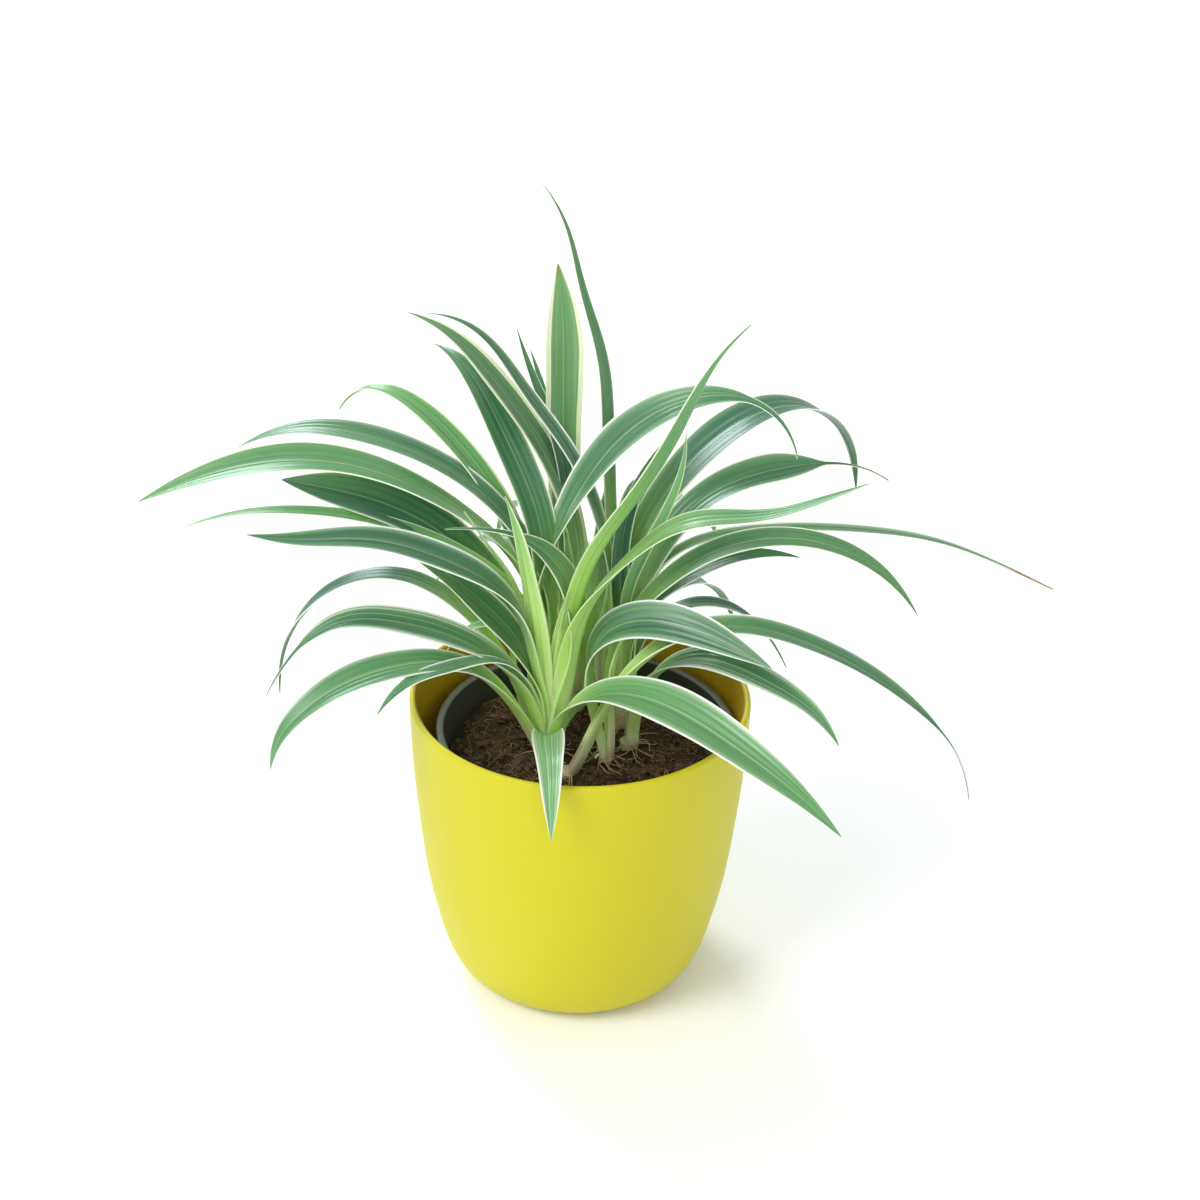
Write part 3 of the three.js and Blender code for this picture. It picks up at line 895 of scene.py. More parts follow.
    def mark(self, mesh: Mesh, rng: random.Random) -> None:
        """Writes the leaf's marks on its mesh, a value at every point.

        Args:
            mesh: The blade's mesh.
            rng: Draws the leaf's seed and its small difference in tone.
        """
        values = {mark: getattr(self.look.value, mark) for mark in LEAF_MARKS if mark != "seed"}
        values["tone"] += rng.uniform(-FORM.tone_spread, FORM.tone_spread)
        values["seed"] = rng.random()
        values.update(self.marks)
        for mark, value in values.items():
            layer = mesh.attributes.new(mark, "FLOAT", "POINT")
            layer.data.foreach_set("value", np.full(len(mesh.vertices), value, np.float32))


@dataclass(frozen=True)
class Crown:
    """The short stem that a shoot's leaves grow from."""

    radius: float = 4.6 * MM
    foot_radius: float = 3.6 * MM
    base: float = 90 * MM
    top: float = 109 * MM
    shoulder: float = 0.95  # the side ends at this share of the height
    swell: tuple[float, float] = (0.15, 0.6)  # start and length of its sine, in half turns
    neck: float = 0.55  # how much the swelling is drawn in at the top
    rings: int = 12
    steps: int = 24
    dent: float = 0.5 * MM
    dent_scale: float = 260  # per metre

    def build(self, foot: Spot, name: str) -> Object:
        """Turns the crown and makes it slightly uneven.

        Args:
            foot: The crown's axis.
            name: The object's name.

        Returns:
            The crown's object.
        """
        height = self.top - self.base
        profile = [(0, self.base)]
        for share in np.linspace(0, 1, self.rings):
            swell = math.sin(math.pi * (self.swell[0] + self.swell[1] * share))
            swell *= 1 - self.neck * share ** 3
            radius = self.foot_radius + (self.radius - self.foot_radius) * swell
            profile.append((radius, self.base + self.shoulder * height * float(share)))
        profile.append((0, self.top))
        obj = Bench.turned(name, profile, foot, self.steps)
        for vertex in obj.data.vertices:
            push = noise.noise(vertex.co * self.dent_scale) * self.dent
            vertex.co.x += push
            vertex.co.y -= push
        return obj


@dataclass
class Shoot:
    """A crown and its leaves, grown as one piece."""

    name: str
    foot: Spot
    leaves: list[Leaf]
    crown: Crown = field(default_factory=Crown)

    def build(self, first: int, finishes: tuple[Material, ...]) -> None:
        """Models the shoot and stands it in for its node.

        Args:
            first: The number of its first leaf on the plant.
            finishes: The upper face's, the underside's and the crown's materials.
        """
        parts = []
        for i, leaf in enumerate(self.leaves):
            blade = leaf.build(self.foot, first + i)
            Bench.dress(blade, *finishes)
            parts.append(blade)
        crown = self.crown.build(self.foot, self.name + "_crown")
        Bench.dress(crown, *finishes)
        for polygon in crown.data.polygons:
            polygon.material_index = len(finishes) - 1
        shoot = Bench.join([*parts, crown], self.name + "_leaves")
        Bench.smooth(shoot, 60)
        Bench.deliver(shoot, "leaf", self.name)


def plant() -> list[Shoot]:
    """Lists the clump's shoots with their leaves, front to back.

    Returns:
        The shoots.
    """
    cream, white, dark = Look.CREAM, Look.WHITE, Look.DARK
    fresh, light, pale, striped = Look.FRESH, Look.LIGHT, Look.PALE, Look.STRIPED
    return [
        Shoot("shoot_front", (-12 * MM, -6 * MM), [
            Leaf((348, 343), (84, 85, 80, 62, 62, 68, 50), (-20, -25), 215 * MM, 15 * MM, light,
                 widest=0.4, root=0.75, marks={"tone": 0.55}),
            Leaf((348, 348), (80, 82, 80, 57, 42, 11, 26, 30), (-35, 0, 20), 202 * MM, 16.5 * MM, light,
                 widest=0.3, root=0.72, marks={"tone": 0.4}),
            Leaf((310, 330), (80, 52, 18, -9, -20, -36), (15, 25), 172 * MM, 19 * MM, white, widest=0.5,
                 marks={"pale_base": 0.26, "tone": 0.5}),
            Leaf((269, 276), (78, 50, 31, 18, 2, -60, -82), (0, 5), 102 * MM, 13 * MM, striped,
                 widest=0.45, root=0.75, marks={"pale_base": 0.2, "tone": 0.65}),
            Leaf((220, 214), (88, 86, 82, 78, 70), (15, 20), 127 * MM, 11 * MM, pale, widest=0.4,
                 root=0.8),
            Leaf((303, 303), (85, 90, 88, 76, 70), (0, -30), 86 * MM, 5 * MM, light,
                 marks={"pale_base": 1.1}),
            Leaf((184, 184), (88, 103, 106, 86, 54, 16, -4), (-10, -40), 140 * MM, 17 * MM, cream,
                 widest=0.45, tail=0.2, marks={"pale_base": 0.66}),
            Leaf((196, 194), (90, 82, 73, 38, 24, 4, 16), (0, -20), 187 * MM, 17 * MM, white,
                 marks={"tone": 0.15}),
            Leaf((177, 177), (82, 88, 68, 48, 42, 28), (0, -15), 110 * MM, 18 * MM, cream),
            Leaf((194, 194), (84, 70, 45, 25, 8, -42, -64), (0, -25), 163 * MM, 17 * MM, striped,
                 widest=0.5, tail=0.15, marks={"tone": 0.25}),
            Leaf((205, 203), (68, 62, 44, 9, -12, -38, -82), (0, -25), 158 * MM, 15 * MM, white),
            Leaf((213, 213), (82, 80, 54, 8, -6, -52), (0, 0), 116 * MM, 8 * MM, white, widest=0.75),
        ]),
        Shoot("shoot_middle", (-5 * MM, -19 * MM), [
            Leaf((357, 357), (68, 66, 34, -12, -30, -46, -80), (0, 5), 230 * MM, 14 * MM, white,
                 widest=0.55, tail=0.15),
        ], Crown(4.2 * MM, 4.2 * MM, top=103.5 * MM)),
        Shoot("shoot_right", (10 * MM, -11 * MM), [
            Leaf((20, -8), (86, 92, 61, 34, 3, -28, -58), (-5, 20), 203 * MM, 12.5 * MM, cream),
            Leaf((350, 326), (103, 103, 90, 40, 6, -8, -14), (4, 60), 139 * MM, 16.5 * MM, white,
                 widest=0.6, root=0.3, marks={"tone": 0.15}),
        ], Crown(3.8 * MM, top=105 * MM)),
        Shoot("shoot_far_right", (20 * MM, 2 * MM), [
            Leaf((23, 22), (88, 95, 80, 52, 12, -6, -36), (0, 25), 203 * MM, 15.5 * MM, dark,
                 widest=0.72, tail=0.16, marks={"margin": 0.08, "dry_tip": 0.04}),
            Leaf((9, 6), (94, 92, 72, 16, -2, -10, -24, -28), (0, -5), 254 * MM, 8.5 * MM, white,
                 marks={"margin": 0.2, "dry_tip": 0.1}),
            Leaf((6, 6), (90, 98, 94, 68, 70, 92), (60, 60), 147 * MM, 4.5 * MM, fresh,
                 marks={"dry_tip": 0.03}),
            Leaf((329, 331), (88, 76, 36, -3, -18, -54), (0, 20), 132 * MM, 14 * MM, striped,
                 widest=0.55),
            Leaf((12, 11), (90, 94, 80, 34, -17, -50, -65), (0, -5), 132 * MM, 9 * MM, dark),
            Leaf((8, 8), (90, 97, 80, 37, 14, -16), (0, 10), 134 * MM, 12.5 * MM, dark),
        ], Crown(3.8 * MM, top=105 * MM)),
        Shoot("shoot_back", (-3 * MM, 30 * MM), [
            Leaf((159, 159), (88, 94, 90, 70, 52, 43, 10), (0, 0), 198 * MM, 18 * MM, cream,
                 marks={"margin": 0.25, "whiteness": 0.2}),
            Leaf((128, 128), (85, 90, 89, 78, 50, 60), (0, 0), 168 * MM, 7 * MM, dark),
            Leaf((118, 112), (82, 80, 79, 77, 62, 30), (0, 0), 155 * MM, 6.5 * MM, dark),
            Leaf((109, 112), (80, 79, 82, 87, 88, 68), (0, 0), 190 * MM, 16 * MM, cream, widest=0.82,
                 marks={"margin": 0.26, "tone": 0.5, "dry_tip": 0.03}),
            Leaf((246, 246), (82, 84, 86, 88, 86), (0, 0), 90 * MM, 5 * MM, light,
                 marks={"pale_base": 0.9}),
            Leaf((40, 40), (79, 81, 84, 82), (0, 0), 112 * MM, 12 * MM, cream, marks={"pale_base": 0.6}),
        ]),
        Shoot("shoot_back_right", (15 * MM, 18 * MM), [
            Leaf((161, 161), (88, 90, 84, 68, 51, 48, -6), (0, -10), 207 * MM, 8.5 * MM, dark,
                 marks={"margin": 0.16, "whiteness": 0.8}),
            Leaf((115, 155), (84, 85, 86, 86, 85, 84, 68, 74, 48), (0, 0), 231 * MM, 7 * MM, cream),
            Leaf((20, 36), (93, 91, 74, 45, 11, -44, -82), (0, 0), 236 * MM, 21 * MM, dark,
                 marks={"tone": 0.0}),
            Leaf((47, 47), (90, 93, 93, 90, 64, 40), (0, 20), 130 * MM, 8 * MM, dark),
        ]),
        Shoot("shoot_far_left", (-16 * MM, 12 * MM), [
            Leaf((185, 184), (95, 85, 46, 22, -9, -27), (20, -22), 244 * MM, 18 * MM, cream, widest=0.7,
                 marks={"tone": 0.45}),
            Leaf((168, 168), (90, 97, 59, 26, 2, -34), (5, -10), 222 * MM, 14.5 * MM, white, widest=0.72,
                 marks={"margin": 0.08, "tone": 0.2}),
            Leaf((150, 150), (90, 93, 66, 45, 20, -58), (0, 0), 199 * MM, 13 * MM, fresh, widest=0.66,
                 marks={"margin": 0.12}),
            Leaf((126, 127), (88, 96, 88, 47, 36, -8), (0, 0), 191 * MM, 15 * MM, dark, widest=0.65),
            Leaf((173, 173), (90, 84, 54, 36, 13, 5), (0, -32), 169 * MM, 21 * MM, dark, widest=0.75,
                 pleat=2.5),
            Leaf((182, 182), (92, 85, 39, 17, 1, -21), (0, -5), 207 * MM, 8.5 * MM, fresh),
            # Painted shade: a tone below 0 holds this blade at the deep green all over, darker than its
            # look.
            Leaf((170, 172), (74, 60, 34, -21, -60, -88), (0, 0), 180 * MM, 12 * MM, dark,
                 marks={"tone": -0.4}),
            Leaf((200, 200), (84, 87, 80, 60, 60), (0, 0), 114 * MM, 8 * MM, pale),
            Leaf((356, 356), (90, 94, 72, 53, 8, -76), (-10, 45), 229 * MM, 21 * MM, white, widest=0.55,
                 tail=0.14, marks={"tone": 0.2}),
            Leaf((200, 200), (70, 74, 82, 70, -6, -62), (0, 0), 82 * MM, 6 * MM, light),
        ]),
        Shoot("shoot_rear", (10 * MM, 40 * MM), [
            Leaf((64, 60), (78, 66, 25, -30, -62), (0, 0), 150 * MM, 16 * MM, cream),
            Leaf((84, 70), (76, 66, 24, -32, -64), (0, 40), 155 * MM, 11 * MM, dark),
            Leaf((117, 122), (78, 64, 24, -32, -62), (0, 0), 150 * MM, 15 * MM, cream),
            Leaf((44, 38), (78, 60, 8, -45, -70), (0, 0), 112 * MM, 12 * MM, dark),
            Leaf((140, 146), (76, 62, 18, -36, -64), (0, 0), 138 * MM, 14 * MM, cream),
        ]),
    ]


# ---- pots ----


@dataclass
class CoverPot:
    """The yellow outer pot, one moulded shell with a rounded lip."""

    height: float = 127 * MM
    wall: float = 2.6 * MM
    floor: float = 3.4 * MM
    base_radius: float = 41 * MM
    lip_radius: float = 68 * MM
    lip_round: float = 1.3 * MM
    # the wall's radii between base and lip, in millimetres, and their heights
    side: tuple[float, ...] = (49, 54.3, 58.2, 61.6, 64.3, 66.4, 67.6)
    side_heights: tuple[float, ...] = (5.5, 16, 31, 48, 70, 92, 112)
    foot_recess: float = 0.8 * MM
    foot_ring: float = 3.5 * MM
    steps: int = 144
    points: int = 44
    lip_points: int = 8
    lip_start: float = 0.25  # turn at which the lip's arc leaves the wall, in radians
    floor_round: float = 3.9 * MM  # how far in the floor starts from the inner wall
    inward: float = 0.3  # a face that faces the axis this much is inside
    upward: float = 0.9

    def outline(self) -> list[Spot]:
        """Gives the outer wall's radius and height on its way up, on one smooth curve."""
        radii = (self.base_radius / MM, *self.side, self.lip_radius / MM)
        heights = (0.0, *self.side_heights, (self.height - self.lip_round) / MM)
        share = np.linspace(0, 1, self.points)
        outer = smooth_through(radii, share) * MM
        level = smooth_through(heights, share) * MM
        level[0] = 0.0
        return list(zip(outer.tolist(), level.tolist()))

    def build(self, outside: Material, inside: Material) -> None:
        """Turns the pot's shell.

        Args:
            outside: The pot's finish.
            inside: The finish of its inner wall and floor: a darker, warmer yellow that is painted shade,
                in the glow of light thrown from side to side.
        """
        outer = self.outline()
        ring = self.base_radius - self.foot_ring
        under = [(0, self.foot_recess), (ring - self.foot_recess, self.foot_recess), (ring, 0)]
        lip_centre = (self.lip_radius - self.lip_round, self.height - self.lip_round)
        lip = [around(lip_centre, self.lip_round, turn)
               for turn in np.linspace(self.lip_start, math.pi, self.lip_points)]
        inner = [(radius - self.wall, level) for radius, level in reversed(outer)
                 if self.floor + self.wall < level < lip_centre[1] - self.lip_round]
        floor_edge = inner[-1][0] - self.floor_round
        profile = [*under, *outer, *lip, *inner, (floor_edge, self.floor), (0, self.floor)]
        pot = Bench.turned("cover_pot_shell", profile, (0, 0), self.steps)
        Bench.smooth(pot, 40)
        Bench.dress(pot, outside, inside)
        # The inner wall and the floor take the darker, warmer yellow: painted shade and painted bounce
        # light inside the pot.
        for polygon in pot.data.polygons:
            inward = -polygon.normal.dot(polygon.center.xy.to_3d().normalized())
            on_floor = polygon.normal.z > self.upward and polygon.center.z < self.height / 2
            polygon.material_index = int(inward > self.inward or on_floor)
        Bench.deliver(pot, "cover_plastic", "cover_pot")


@dataclass
class NurseryPot:
    """The dark inner pot, tapered, with a thicker band under its rim and holes in its floor."""

    centre: Spot = (2.5 * MM, -1.5 * MM)
    rim_radius: float = 60 * MM
    rim_height: float = 113 * MM
    rim_band: float = 9 * MM
    band_step: float = 1.6 * MM
    wall: float = 1.5 * MM
    base: float = 3.7 * MM
    floor: float = 2 * MM
    base_radius: float = 39 * MM
    drain_holes: int = 6
    drain_radius: float = 4 * MM
    drain_circle: float = 28 * MM
    steps: int = 128
    rim_points: int = 5

    def outer_radius(self, level: float) -> float:
        """Gives the radius of the outer wall at a height."""
        share = (level - self.base) / (self.rim_height - self.base)
        return self.base_radius + (self.rim_radius - self.band_step - self.base_radius) * share

    def inner_radius(self, level: float) -> float:
        """Gives the radius of the inner wall at a height."""
        return self.outer_radius(level) - self.wall

    def build(self, material: Material, lighter: Material) -> None:
        """Turns the pot's shell and drills its floor.

        Args:
            material: The pot's finish.
            lighter: The finish of its rim's top, a lighter grey.
        """
        top, half = self.rim_height, self.wall / 2
        band = top - self.rim_band
        inside = self.base + self.floor
        quarter = np.linspace(0, math.pi / 2, self.rim_points)
        rim = [around((self.rim_radius - half, top - half), half, turn) for turn in quarter]
        back = [around((self.inner_radius(top) + half, top - half), half, turn + math.pi / 2)
                for turn in quarter]
        profile = [
            (0, self.base), (self.base_radius - half, self.base), (self.base_radius, self.base + half),
            (self.outer_radius(band), band), (self.rim_radius - self.band_step / 2, band + half / 2),
            *rim, *back, (self.inner_radius(inside), inside), (0, inside)]
        pot = Bench.turned("nursery_pot_shell", profile, self.centre, self.steps)
        cutter = Bench.join([self.drill(i) for i in range(self.drain_holes)], "drain_drills")
        Bench.apply(pot, "BOOLEAN", object=cutter, operation="DIFFERENCE", solver="EXACT")
        bpy.data.objects.remove(cutter)
        Bench.smooth(pot, 35)
        Bench.dress(pot, material, lighter)
        # The faces at the top of the rim take the lighter grey.
        for polygon in pot.data.polygons:
            polygon.material_index = int(polygon.center.z > top - self.wall)
        Bench.deliver(pot, "nursery_plastic", "nursery_pot")

    def drill(self, number: int) -> Object:
        """Places the cutter of one drain hole and returns it."""
        place = around(self.centre, self.drain_circle, number / self.drain_holes * 2 * math.pi)
        drill = Bench.add(f"drill_{number}", bpy.ops.mesh.primitive_cylinder_add, radius=self.drain_radius,
                          depth=6 * self.floor, location=(*place, self.base))
        bpy.ops.object.transform_apply(location=True, rotation=True, scale=True)
        return drill


# ---- soil ----


@dataclass(frozen=True)
class Bits:
    """One kind of bit on the soil, each a dented and stretched lump."""

    name: str
    count: int
    least: float  # radius
    most: float
    flatness: float  # height as a share of width
    kinds: int = 6
    length: Span = (0.8, 1.9)  # in radii
    breadth: Span = (0.6, 1.1)
    height: Span = (0.6, 1.2)  # before it is flattened
    tilt: float = 0.35  # usual tilt, in radians
    lift: float = 0.25  # its middle's height above the soil, as a share of its own
    dent: float = 0.55
    dent_scale: float = 1.3

    def lump(self, number: int) -> Object:
        """Models one kind of rough lump, 1 metre in radius, and returns it."""
        lump = Bench.add(f"lump_{number}", bpy.ops.mesh.primitive_ico_sphere_add, subdivisions=2, radius=1)
        for vertex in lump.data.vertices:
            dent = noise.noise(vertex.co * self.dent_scale + Vector((7 * number, 0, 0)))
            vertex.co *= 1 + self.dent * dent
        return lump


@dataclass
class Soil:
    """Coir potting mix: a lumpy plug with crumbs, bark bits and fibres on top."""

    pot: NurseryPot
    feet: list[Spot]
    level: float = 102 * MM
    edge_drop: float = 1.6 * MM
    edge_start: float = 0.85  # the surface drops from this share of its radius outward
    gap: float = 0.3 * MM
    cells: int = 150
    # each a wave along the surface: turns per metre along X and Y, height, phase
    lumps: tuple[tuple[float, float, float, float], ...] = (
        (33, 14, 0.9 * MM, 1.3), (-40, 53, 0.6 * MM, 0.4), (21, -71, 0.4 * MM, 2.2))
    # each a noise on the surface: scale per metre, height
    coarse_grit: tuple[float, float] = (130, 1.17 * MM)
    sharp_grit: tuple[float, float] = (330, 0.78 * MM)
    fine_grit: tuple[float, float] = (800, 0.39 * MM)
    crumbs: Bits = Bits("soil_crumbs", 900, 0.5 * MM, 1.7 * MM, 0.8)
    bark: Bits = Bits("bark_bits", 150, 1.0 * MM, 2.8 * MM, 0.4)
    bit_reach: float = 0.96  # how far out bits lie, as a share of the surface's radius
    stem_room: float = 7 * MM
    seed: int = 7

    def surface_radius(self) -> float:
        """Gives how far the surface reaches from the pot's axis."""
        return self.pot.inner_radius(self.level - self.edge_drop) - self.gap

    def height(self, x: float, y: float) -> float:
        """Gives the surface's height at a place.

        Args:
            x: Place along X.
            y: Place along Y.

        Returns:
            Height above the table.
        """
        local = (x - self.pot.centre[0], y - self.pot.centre[1])
        past_edge = max(0.0, math.hypot(*local) / self.surface_radius() - self.edge_start)
        level = self.level - self.edge_drop * past_edge / (1 - self.edge_start)
        for along_x, along_y, rise, phase in self.lumps:
            level += rise * math.sin(2 * math.pi * (along_x * local[0] + along_y * local[1]) + phase)
        place = Vector((x, y, 0))
        level += self.coarse_grit[1] * noise.noise(place * self.coarse_grit[0])
        level += self.sharp_grit[1] * abs(noise.noise(place * self.sharp_grit[0] + Vector((3, 1, 0))))
        return level + self.fine_grit[1] * noise.noise(place * self.fine_grit[0])

    def plug(self) -> Object:
        """Models the soil's body: a lumpy disc whose edge is drawn down into the pot.

        Returns:
            The plug's object.
        """
        plug = Bench.add("soil_plug", bpy.ops.mesh.primitive_grid_add,
                         x_subdivisions=self.cells, y_subdivisions=self.cells, size=2)
        reach = self.surface_radius()
        for vertex in plug.data.vertices:
            x, y = vertex.co.x, vertex.co.y
            place_x = self.pot.centre[0] + reach * x * math.sqrt(1 - y * y / 2)
            place_y = self.pot.centre[1] + reach * y * math.sqrt(1 - x * x / 2)
            vertex.co = (place_x, place_y, self.height(place_x, place_y))
        bottom = self.pot.base + self.pot.floor + self.gap
        narrow = (self.pot.inner_radius(bottom) - self.gap) / reach
        bpy.ops.object.mode_set(mode="EDIT")
        bpy.ops.mesh.select_all(action="SELECT")
        bpy.ops.mesh.region_to_loop()
        bpy.ops.mesh.extrude_region_move(
            TRANSFORM_OT_translate={"value": (0, 0, bottom - self.level + self.edge_drop)})
        bpy.ops.transform.resize(
            value=(narrow, narrow, 0), center_override=(*self.pot.centre, bottom))
        bpy.ops.mesh.edge_face_add()
        bpy.ops.mesh.select_all(action="SELECT")
        bpy.ops.mesh.normals_make_consistent(inside=False)
        bpy.ops.object.mode_set(mode="OBJECT")
        Bench.smooth(plug, 60)
        return plug

    def spot(self, rng: random.Random, reach: float) -> Spot:
        """Draws a place on the surface that is clear of the stems.

        Args:
            rng: The random source.
            reach: How far out it may lie, as a share of the surface's radius.

        Returns:
            The place along X and Y.
        """
        while True:
            radius = self.surface_radius() * reach * math.sqrt(rng.random())
            place = around(self.pot.centre, radius, rng.uniform(0, 2 * math.pi))
            if all(math.dist(place, foot) > self.stem_room for foot in self.feet):
                return place

    def scatter(self, bits: Bits, rng: random.Random) -> Object:
        """Scatters one kind of bit over the surface.

        Args:
            bits: The kind.
            rng: The random source.

        Returns:
            One object that holds all the bits.
        """
        kinds = [bits.lump(i) for i in range(bits.kinds)]
        placed = []
        for i in range(bits.count):
            x, y = self.spot(rng, self.bit_reach)
            size = bits.least + (bits.most - bits.least) * rng.random() ** 2
            stretch = Vector((rng.uniform(*bits.length), rng.uniform(*bits.breadth),
                              bits.flatness * rng.uniform(*bits.height)))
            turn = Matrix.Rotation(rng.uniform(0, 2 * math.pi), 4, "Z")
            tilt = Matrix.Rotation(rng.gauss(0, bits.tilt), 4, "X")
            place = Matrix.Translation((x, y, self.height(x, y) + bits.lift * size * stretch.z))
            bit = bpy.data.objects.new(f"{bits.name}_{i}", kinds[rng.randrange(len(kinds))].data.copy())
            bpy.context.scene.collection.objects.link(bit)
            bit.data.transform(place @ turn @ tilt @ Matrix.Diagonal((*(size * stretch), 1)))
            placed.append(bit)
        for kind in kinds:
            bpy.data.objects.remove(kind)
        joined = Bench.join(placed, bits.name)
        Bench.smooth(joined, 50)
        return joined

    def build(self, finishes: dict[str, Material]) -> None:
        """Models the soil and all that lies on it.

        Args:
            finishes: The materials for soil, crumbs, bark and fibres.
        """
        rng = random.Random(self.seed)
        pieces = {"soil": self.plug(), "crumbs": self.scatter(self.crumbs, rng),
                  "bark": self.scatter(self.bark, rng), "fibres": Fibres().build(self, rng)}
        for key, piece in pieces.items():
            Bench.dress(piece, finishes[key])
        Bench.deliver(pieces.pop("soil"), "coir_mix", "soil")
        for piece in pieces.values():
            Bench.deliver(piece, "coir_mix")


@dataclass
class Fibres:
    """Coir fibres that wander over the soil. Turns are in radians."""

    count: int = 420
    radius: float = 0.11 * MM
    start_reach: float = 0.93  # how far out they start, as a share of the surface's radius
    end_reach: float = 0.97
    lift: float = 0.35 * MM
    arch: Span = (0.1 * MM, 1.6 * MM)
    step: Span = (0.7 * MM, 2.0 * MM)
    points: tuple[int, int] = (5, 9)
    fewest: int = 4  # a fibre cut short at the rim is kept from this many points on
    curl: float = 0.35
    wander: float = 0.3

    def build(self, soil: Soil, rng: random.Random) -> Object:
        """Draws the fibres' routes over the soil and models them.

        Args:
            soil: The soil that they lie on.
            rng: The random source.

        Returns:
            One object that holds all the fibres.
        """
        routes = []
        for _ in range(self.count):
            x, y = soil.spot(rng, self.start_reach)
            turn, curl = rng.uniform(0, 2 * math.pi), rng.gauss(0, self.curl)
            step = rng.uniform(*self.step)
            arch = rng.uniform(*self.arch) * rng.random()
            route = []
            count = rng.randint(*self.points)
            for i in range(count):
                lift = arch * math.sin(math.pi * i / (count - 1)) + self.lift
                route.append(Vector((x, y, soil.height(x, y) + lift)))
                turn += curl + rng.gauss(0, self.wander)
                x, y = around((x, y), step, turn)
                if math.dist((x, y), soil.pot.centre) > self.end_reach * soil.surface_radius():
                    break
            if len(route) >= self.fewest:
                routes.append(route)
        fibres = Bench.strands("coir_fibres", routes, self.radius)
        Bench.smooth(fibres, 80)
        return fibres


@dataclass
class SurfaceRoots:
    """Pale roots that leave the crowns and run over and into the soil."""

    soil: Soil
    per_crown: int = 13
    radius: float = 0.26 * MM
    crown_radius: float = 4 * MM
    # height above the soil at each of a root's points, until it enters the soil
    lifts: tuple[float, ...] = (2.2 * MM, 1.6 * MM, 1.0 * MM, 0.7 * MM, 0.5 * MM, 0.2 * MM, -0.8 * MM)
    step: Span = (0.8 * MM, 2.8 * MM)
    wander: float = 0.6  # usual turn at each point, in radians
    seed: int = 21

    def routes(self) -> list[list[Vector]]:
        """Draws the roots' routes from each crown outward and down.

        Returns:
            The routes' points.
        """
        rng = random.Random(self.seed)
        routes = []
        for foot in self.soil.feet:
            for _ in range(self.per_crown):
                turn = rng.uniform(0, 2 * math.pi)
                x, y = around(foot, self.crown_radius, turn)
                step = rng.uniform(*self.step)
                route = []
                for lift in self.lifts:
                    route.append(Vector((x, y, self.soil.height(x, y) + lift)))
                    turn += rng.gauss(0, self.wander)
                    x, y = around((x, y), step, turn)
                routes.append(route)
        return routes

    def build(self, material: Material) -> None:
        """Models the roots.

        Args:
            material: The roots' finish.
        """
        roots = Bench.strands("surface_roots", self.routes(), self.radius)
        Bench.smooth(roots, 80)
        Bench.dress(roots, material)
        Bench.deliver(roots, "leaf")


# ---- stage ----


@dataclass
class PhotoCamera:
    """The camera, at the photograph's viewing angle."""

    target: Place = (0.0068, 0.0, 0.170)
    distance: float = 1.0
    pitch: float = 29.55
    roll: float = 1.55
    lens: float = 76.95

    def build(self) -> None:
        """Stands the camera in front of the pot, looking down on it."""
        pitch, roll = math.radians(self.pitch), math.radians(self.roll)
        forward = Vector((0, math.cos(pitch), -math.sin(pitch)))
        level = Vector((1, 0, 0))
        upright = level.cross(forward)
        right = math.cos(roll) * level + math.sin(roll) * upright
        up = math.cos(roll) * upright - math.sin(roll) * level
        camera = Bench.add("camera", bpy.ops.object.camera_add)
        turn = Matrix((right, up, -forward)).transposed().to_4x4()
        camera.matrix_world = Matrix.Translation(Vector(self.target) - forward * self.distance) @ turn
        camera.data.lens = self.lens
        bpy.context.scene.camera = camera


@dataclass
class Studio:
    """A plain pale floor and soft light: a broad sun, a cool lamp behind and a fill by the camera."""

    floor_size: float = 12.0
    sky: float = 0.66
    sun_place: Place = (-1.5, -1.1, 1.9)
    sun_strength: float = 1.6
    sun_spread: float = 28.0
    fill_place: Place = (0.25, -1.5, 1.0)
    fill_power: float = 5.0
    fill_size: float = 0.8
    rim_place: Place = (-1.0, 1.7, 1.5)
    rim_power: float = 36.0
    rim_size: float = 1.0
    rim_colour: Colour = (0.84, 0.93, 1.0)
    aim: Place = (0.0, 0.0, 0.12)

    def lamp(self, name: str, kind: str, place: Place, power: float) -> Object:
        """Hangs a light that points at the plant.

        Args:
            name: The light's name.
            kind: Blender's name for its type.
            place: Where it hangs.
            power: Its power in watts, or a sun's strength.

        Returns:
            The light's object.
        """
        lamp = Bench.add(name, bpy.ops.object.light_add, type=kind, location=place)
        lamp.data.energy = power
        lamp.rotation_euler = (Vector(self.aim) - Vector(place)).to_track_quat("-Z", "Y").to_euler()
        return lamp

    def build(self, floor_material: Material) -> None:
        """Lays the floor and hangs the lights.

        Args:
            floor_material: The floor's finish.
        """
        world = bpy.data.worlds.new("studio")
        world.use_nodes = True
        background = world.node_tree.nodes["Background"]
        background.inputs["Color"].default_value = (1, 1, 1, 1)
        background.inputs["Strength"].default_value = self.sky
        scene = bpy.context.scene
        scene.world = world
        scene.view_settings.view_transform = "Standard"
        sun = self.lamp("sun", "SUN", self.sun_place, self.sun_strength)
        sun.data.angle = math.radians(self.sun_spread)
        fill = self.lamp("fill", "AREA", self.fill_place, self.fill_power)
        fill.data.size = self.fill_size
        rim = self.lamp("rim", "AREA", self.rim_place, self.rim_power)
        rim.data.size = self.rim_size
        rim.data.color = self.rim_colour
        floor = Bench.add("floor", bpy.ops.mesh.primitive_plane_add, size=self.floor_size)
        Bench.dress(floor, floor_material)


# ---- finishes ----

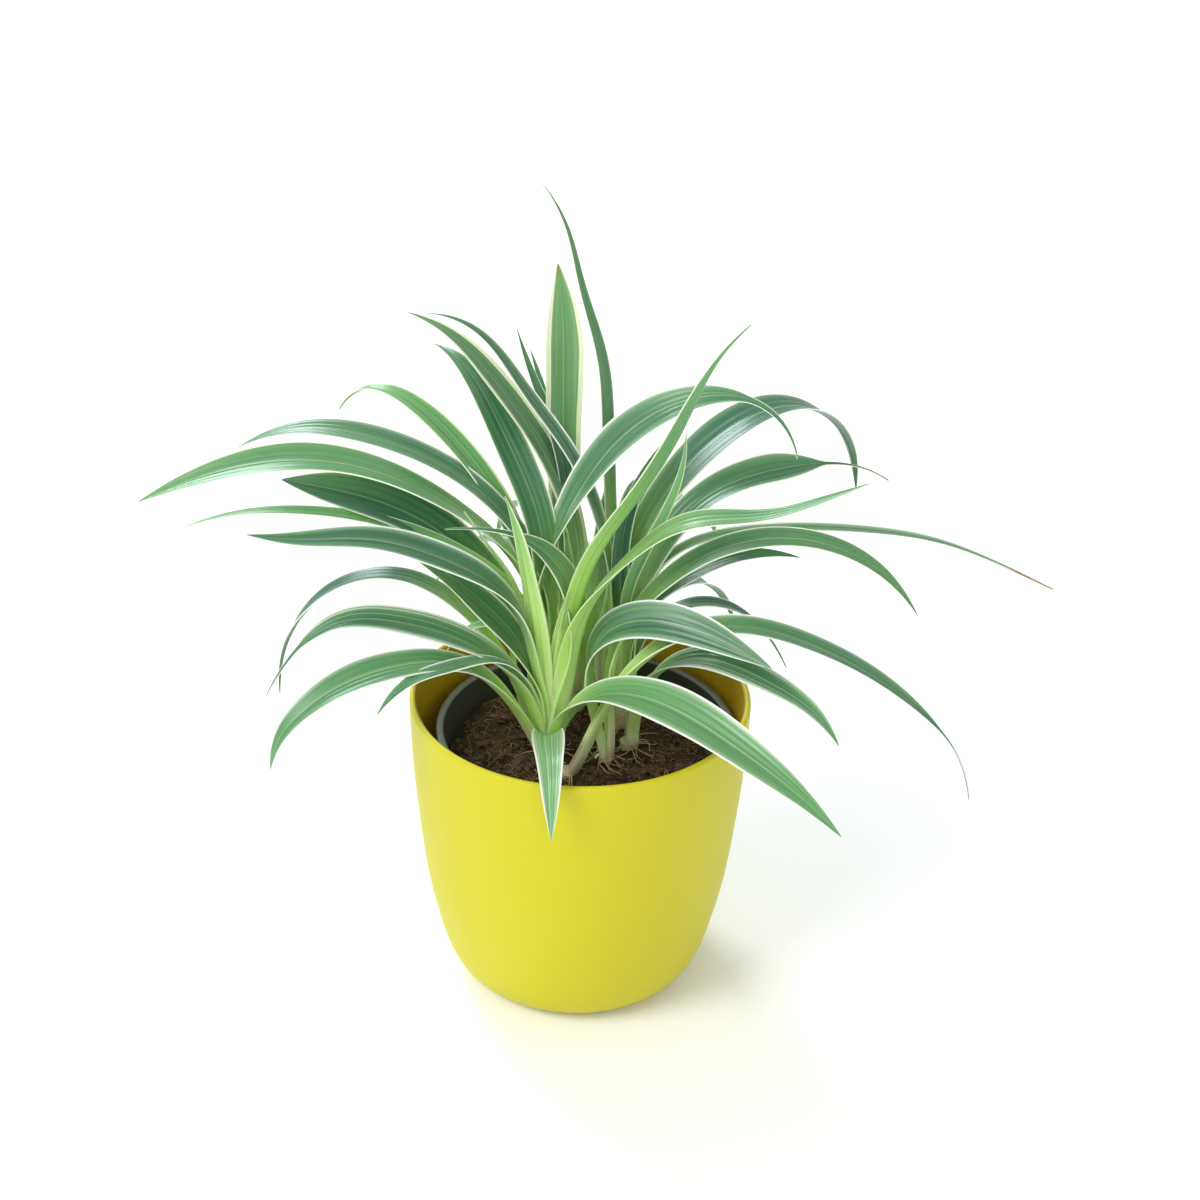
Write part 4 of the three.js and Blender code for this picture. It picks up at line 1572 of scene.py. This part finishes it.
COVER_PLASTIC = SpeckleFinish("yellow moulded plastic", "c8c30e", "c4be0c", 14, 900, 0.7, 0.48, 0.05,
                               0.05 * MM, 0.4)
# Painted shade: a darker, warmer copy of the yellow for the inside of the pot, standing in for its shade
# and the light bounced from wall to wall.
COVER_INSIDE_PAINTED_SHADE = SpeckleFinish("yellow inner wall painted shade", "d2aa1c", "cca418", 14, 900, 0.7, 0.5, 0.05, 0.05 * MM)
NURSERY_PLASTIC = SpeckleFinish("dark nursery plastic", "484840", "30312c", 60, 1200, 1.4, 0.55, 0.25,
                                0.1 * MM)
# A lighter grey for the top of the nursery pot's rim.
NURSERY_RIM = SpeckleFinish("worn nursery rim", "74746a", "5a5a50", 60, 1200, 1.4, 0.5, 0.2, 0.1 * MM)
SOIL_EARTH = SpeckleFinish("potting earth", "1e180e", "4a3b27", 160, 1500, 2.2, 0.95, 1.0, 0.6 * MM, 0.2)
SOIL_CRUMBS = SpeckleFinish("coir crumbs", "241c11", "665234", 240, 1800, 2.6, 0.95, 0.8, 0.3 * MM, 0.2)
BARK = SpeckleFinish("reddish bark", "2e2018", "5f4330", 260, 1400, 2.4, 0.85, 0.8, 0.3 * MM, 0.3)
FIBRE = SpeckleFinish("coir fibre", "664d30", "a88a5e", 120, 900, 2.4, 0.8, 0.2, 0.1 * MM, 0.3)
ROOT = SpeckleFinish("pale root", "c9b48c", "8e6c45", 140, 900, 2.0, 0.6, 0.3, 0.1 * MM, 0.4)
CROWN_SKIN = SpeckleFinish("pale crown", "d3d2a4", "a08a5a", 90, 900, 1.6, 0.5, 0.3, 0.1 * MM, 0.4)
FLOOR = SpeckleFinish("pale floor", "fbfbfb", "fafafa", 2, 40, 0.5, 0.8, 0.0, 0.1 * MM, 0.2)

# The base and root colours are the leaves' own pale foot, made paler still as painted light for the shaded
# heart of the clump.
LEAF_UPPER = LeafFinish(
    "leaf upper face", deep="376850", fresh="76b26a", base="c2e680", root="f0f4cc",
    cream="e6eeb8", white="f0f6ee", dry="9a8458", roughness=0.36, specular=0.5, bump=0.3, glow=0.3)
LEAF_UNDER = LeafFinish(
    "leaf underside", deep="56785a", fresh="84b66e", base="bee27e", root="eef4c4",
    cream="e2eab4", white="e6eee0", dry="9a8458", roughness=0.5, specular=0.4, bump=0.4, glow=0.3)


def main() -> None:
    """Builds the camera, the plant, its soil and pots, and the studio."""
    logging.basicConfig(level=logging.INFO, format="%(name)s: %(message)s")
    PhotoCamera().build()
    speckle = speckle_group()
    leaf_pattern = LeafPattern().build()
    CoverPot().build(COVER_PLASTIC.material(speckle), COVER_INSIDE_PAINTED_SHADE.material(speckle))
    nursery = NurseryPot()
    nursery.build(NURSERY_PLASTIC.material(speckle), NURSERY_RIM.material(speckle))
    shoots = plant()
    soil = Soil(nursery, [shoot.foot for shoot in shoots])
    soil.build({"soil": SOIL_EARTH.material(speckle), "crumbs": SOIL_CRUMBS.material(speckle),
                "bark": BARK.material(speckle), "fibres": FIBRE.material(speckle)})
    SurfaceRoots(soil).build(ROOT.material(speckle))
    finishes = (LEAF_UPPER.material(leaf_pattern), LEAF_UNDER.material(leaf_pattern),
                CROWN_SKIN.material(speckle))
    first = 0
    for shoot in shoots:
        shoot.build(first, finishes)
        first += len(shoot.leaves)
    Studio().build(FLOOR.material(speckle))


if __name__ == "__main__":
    main()
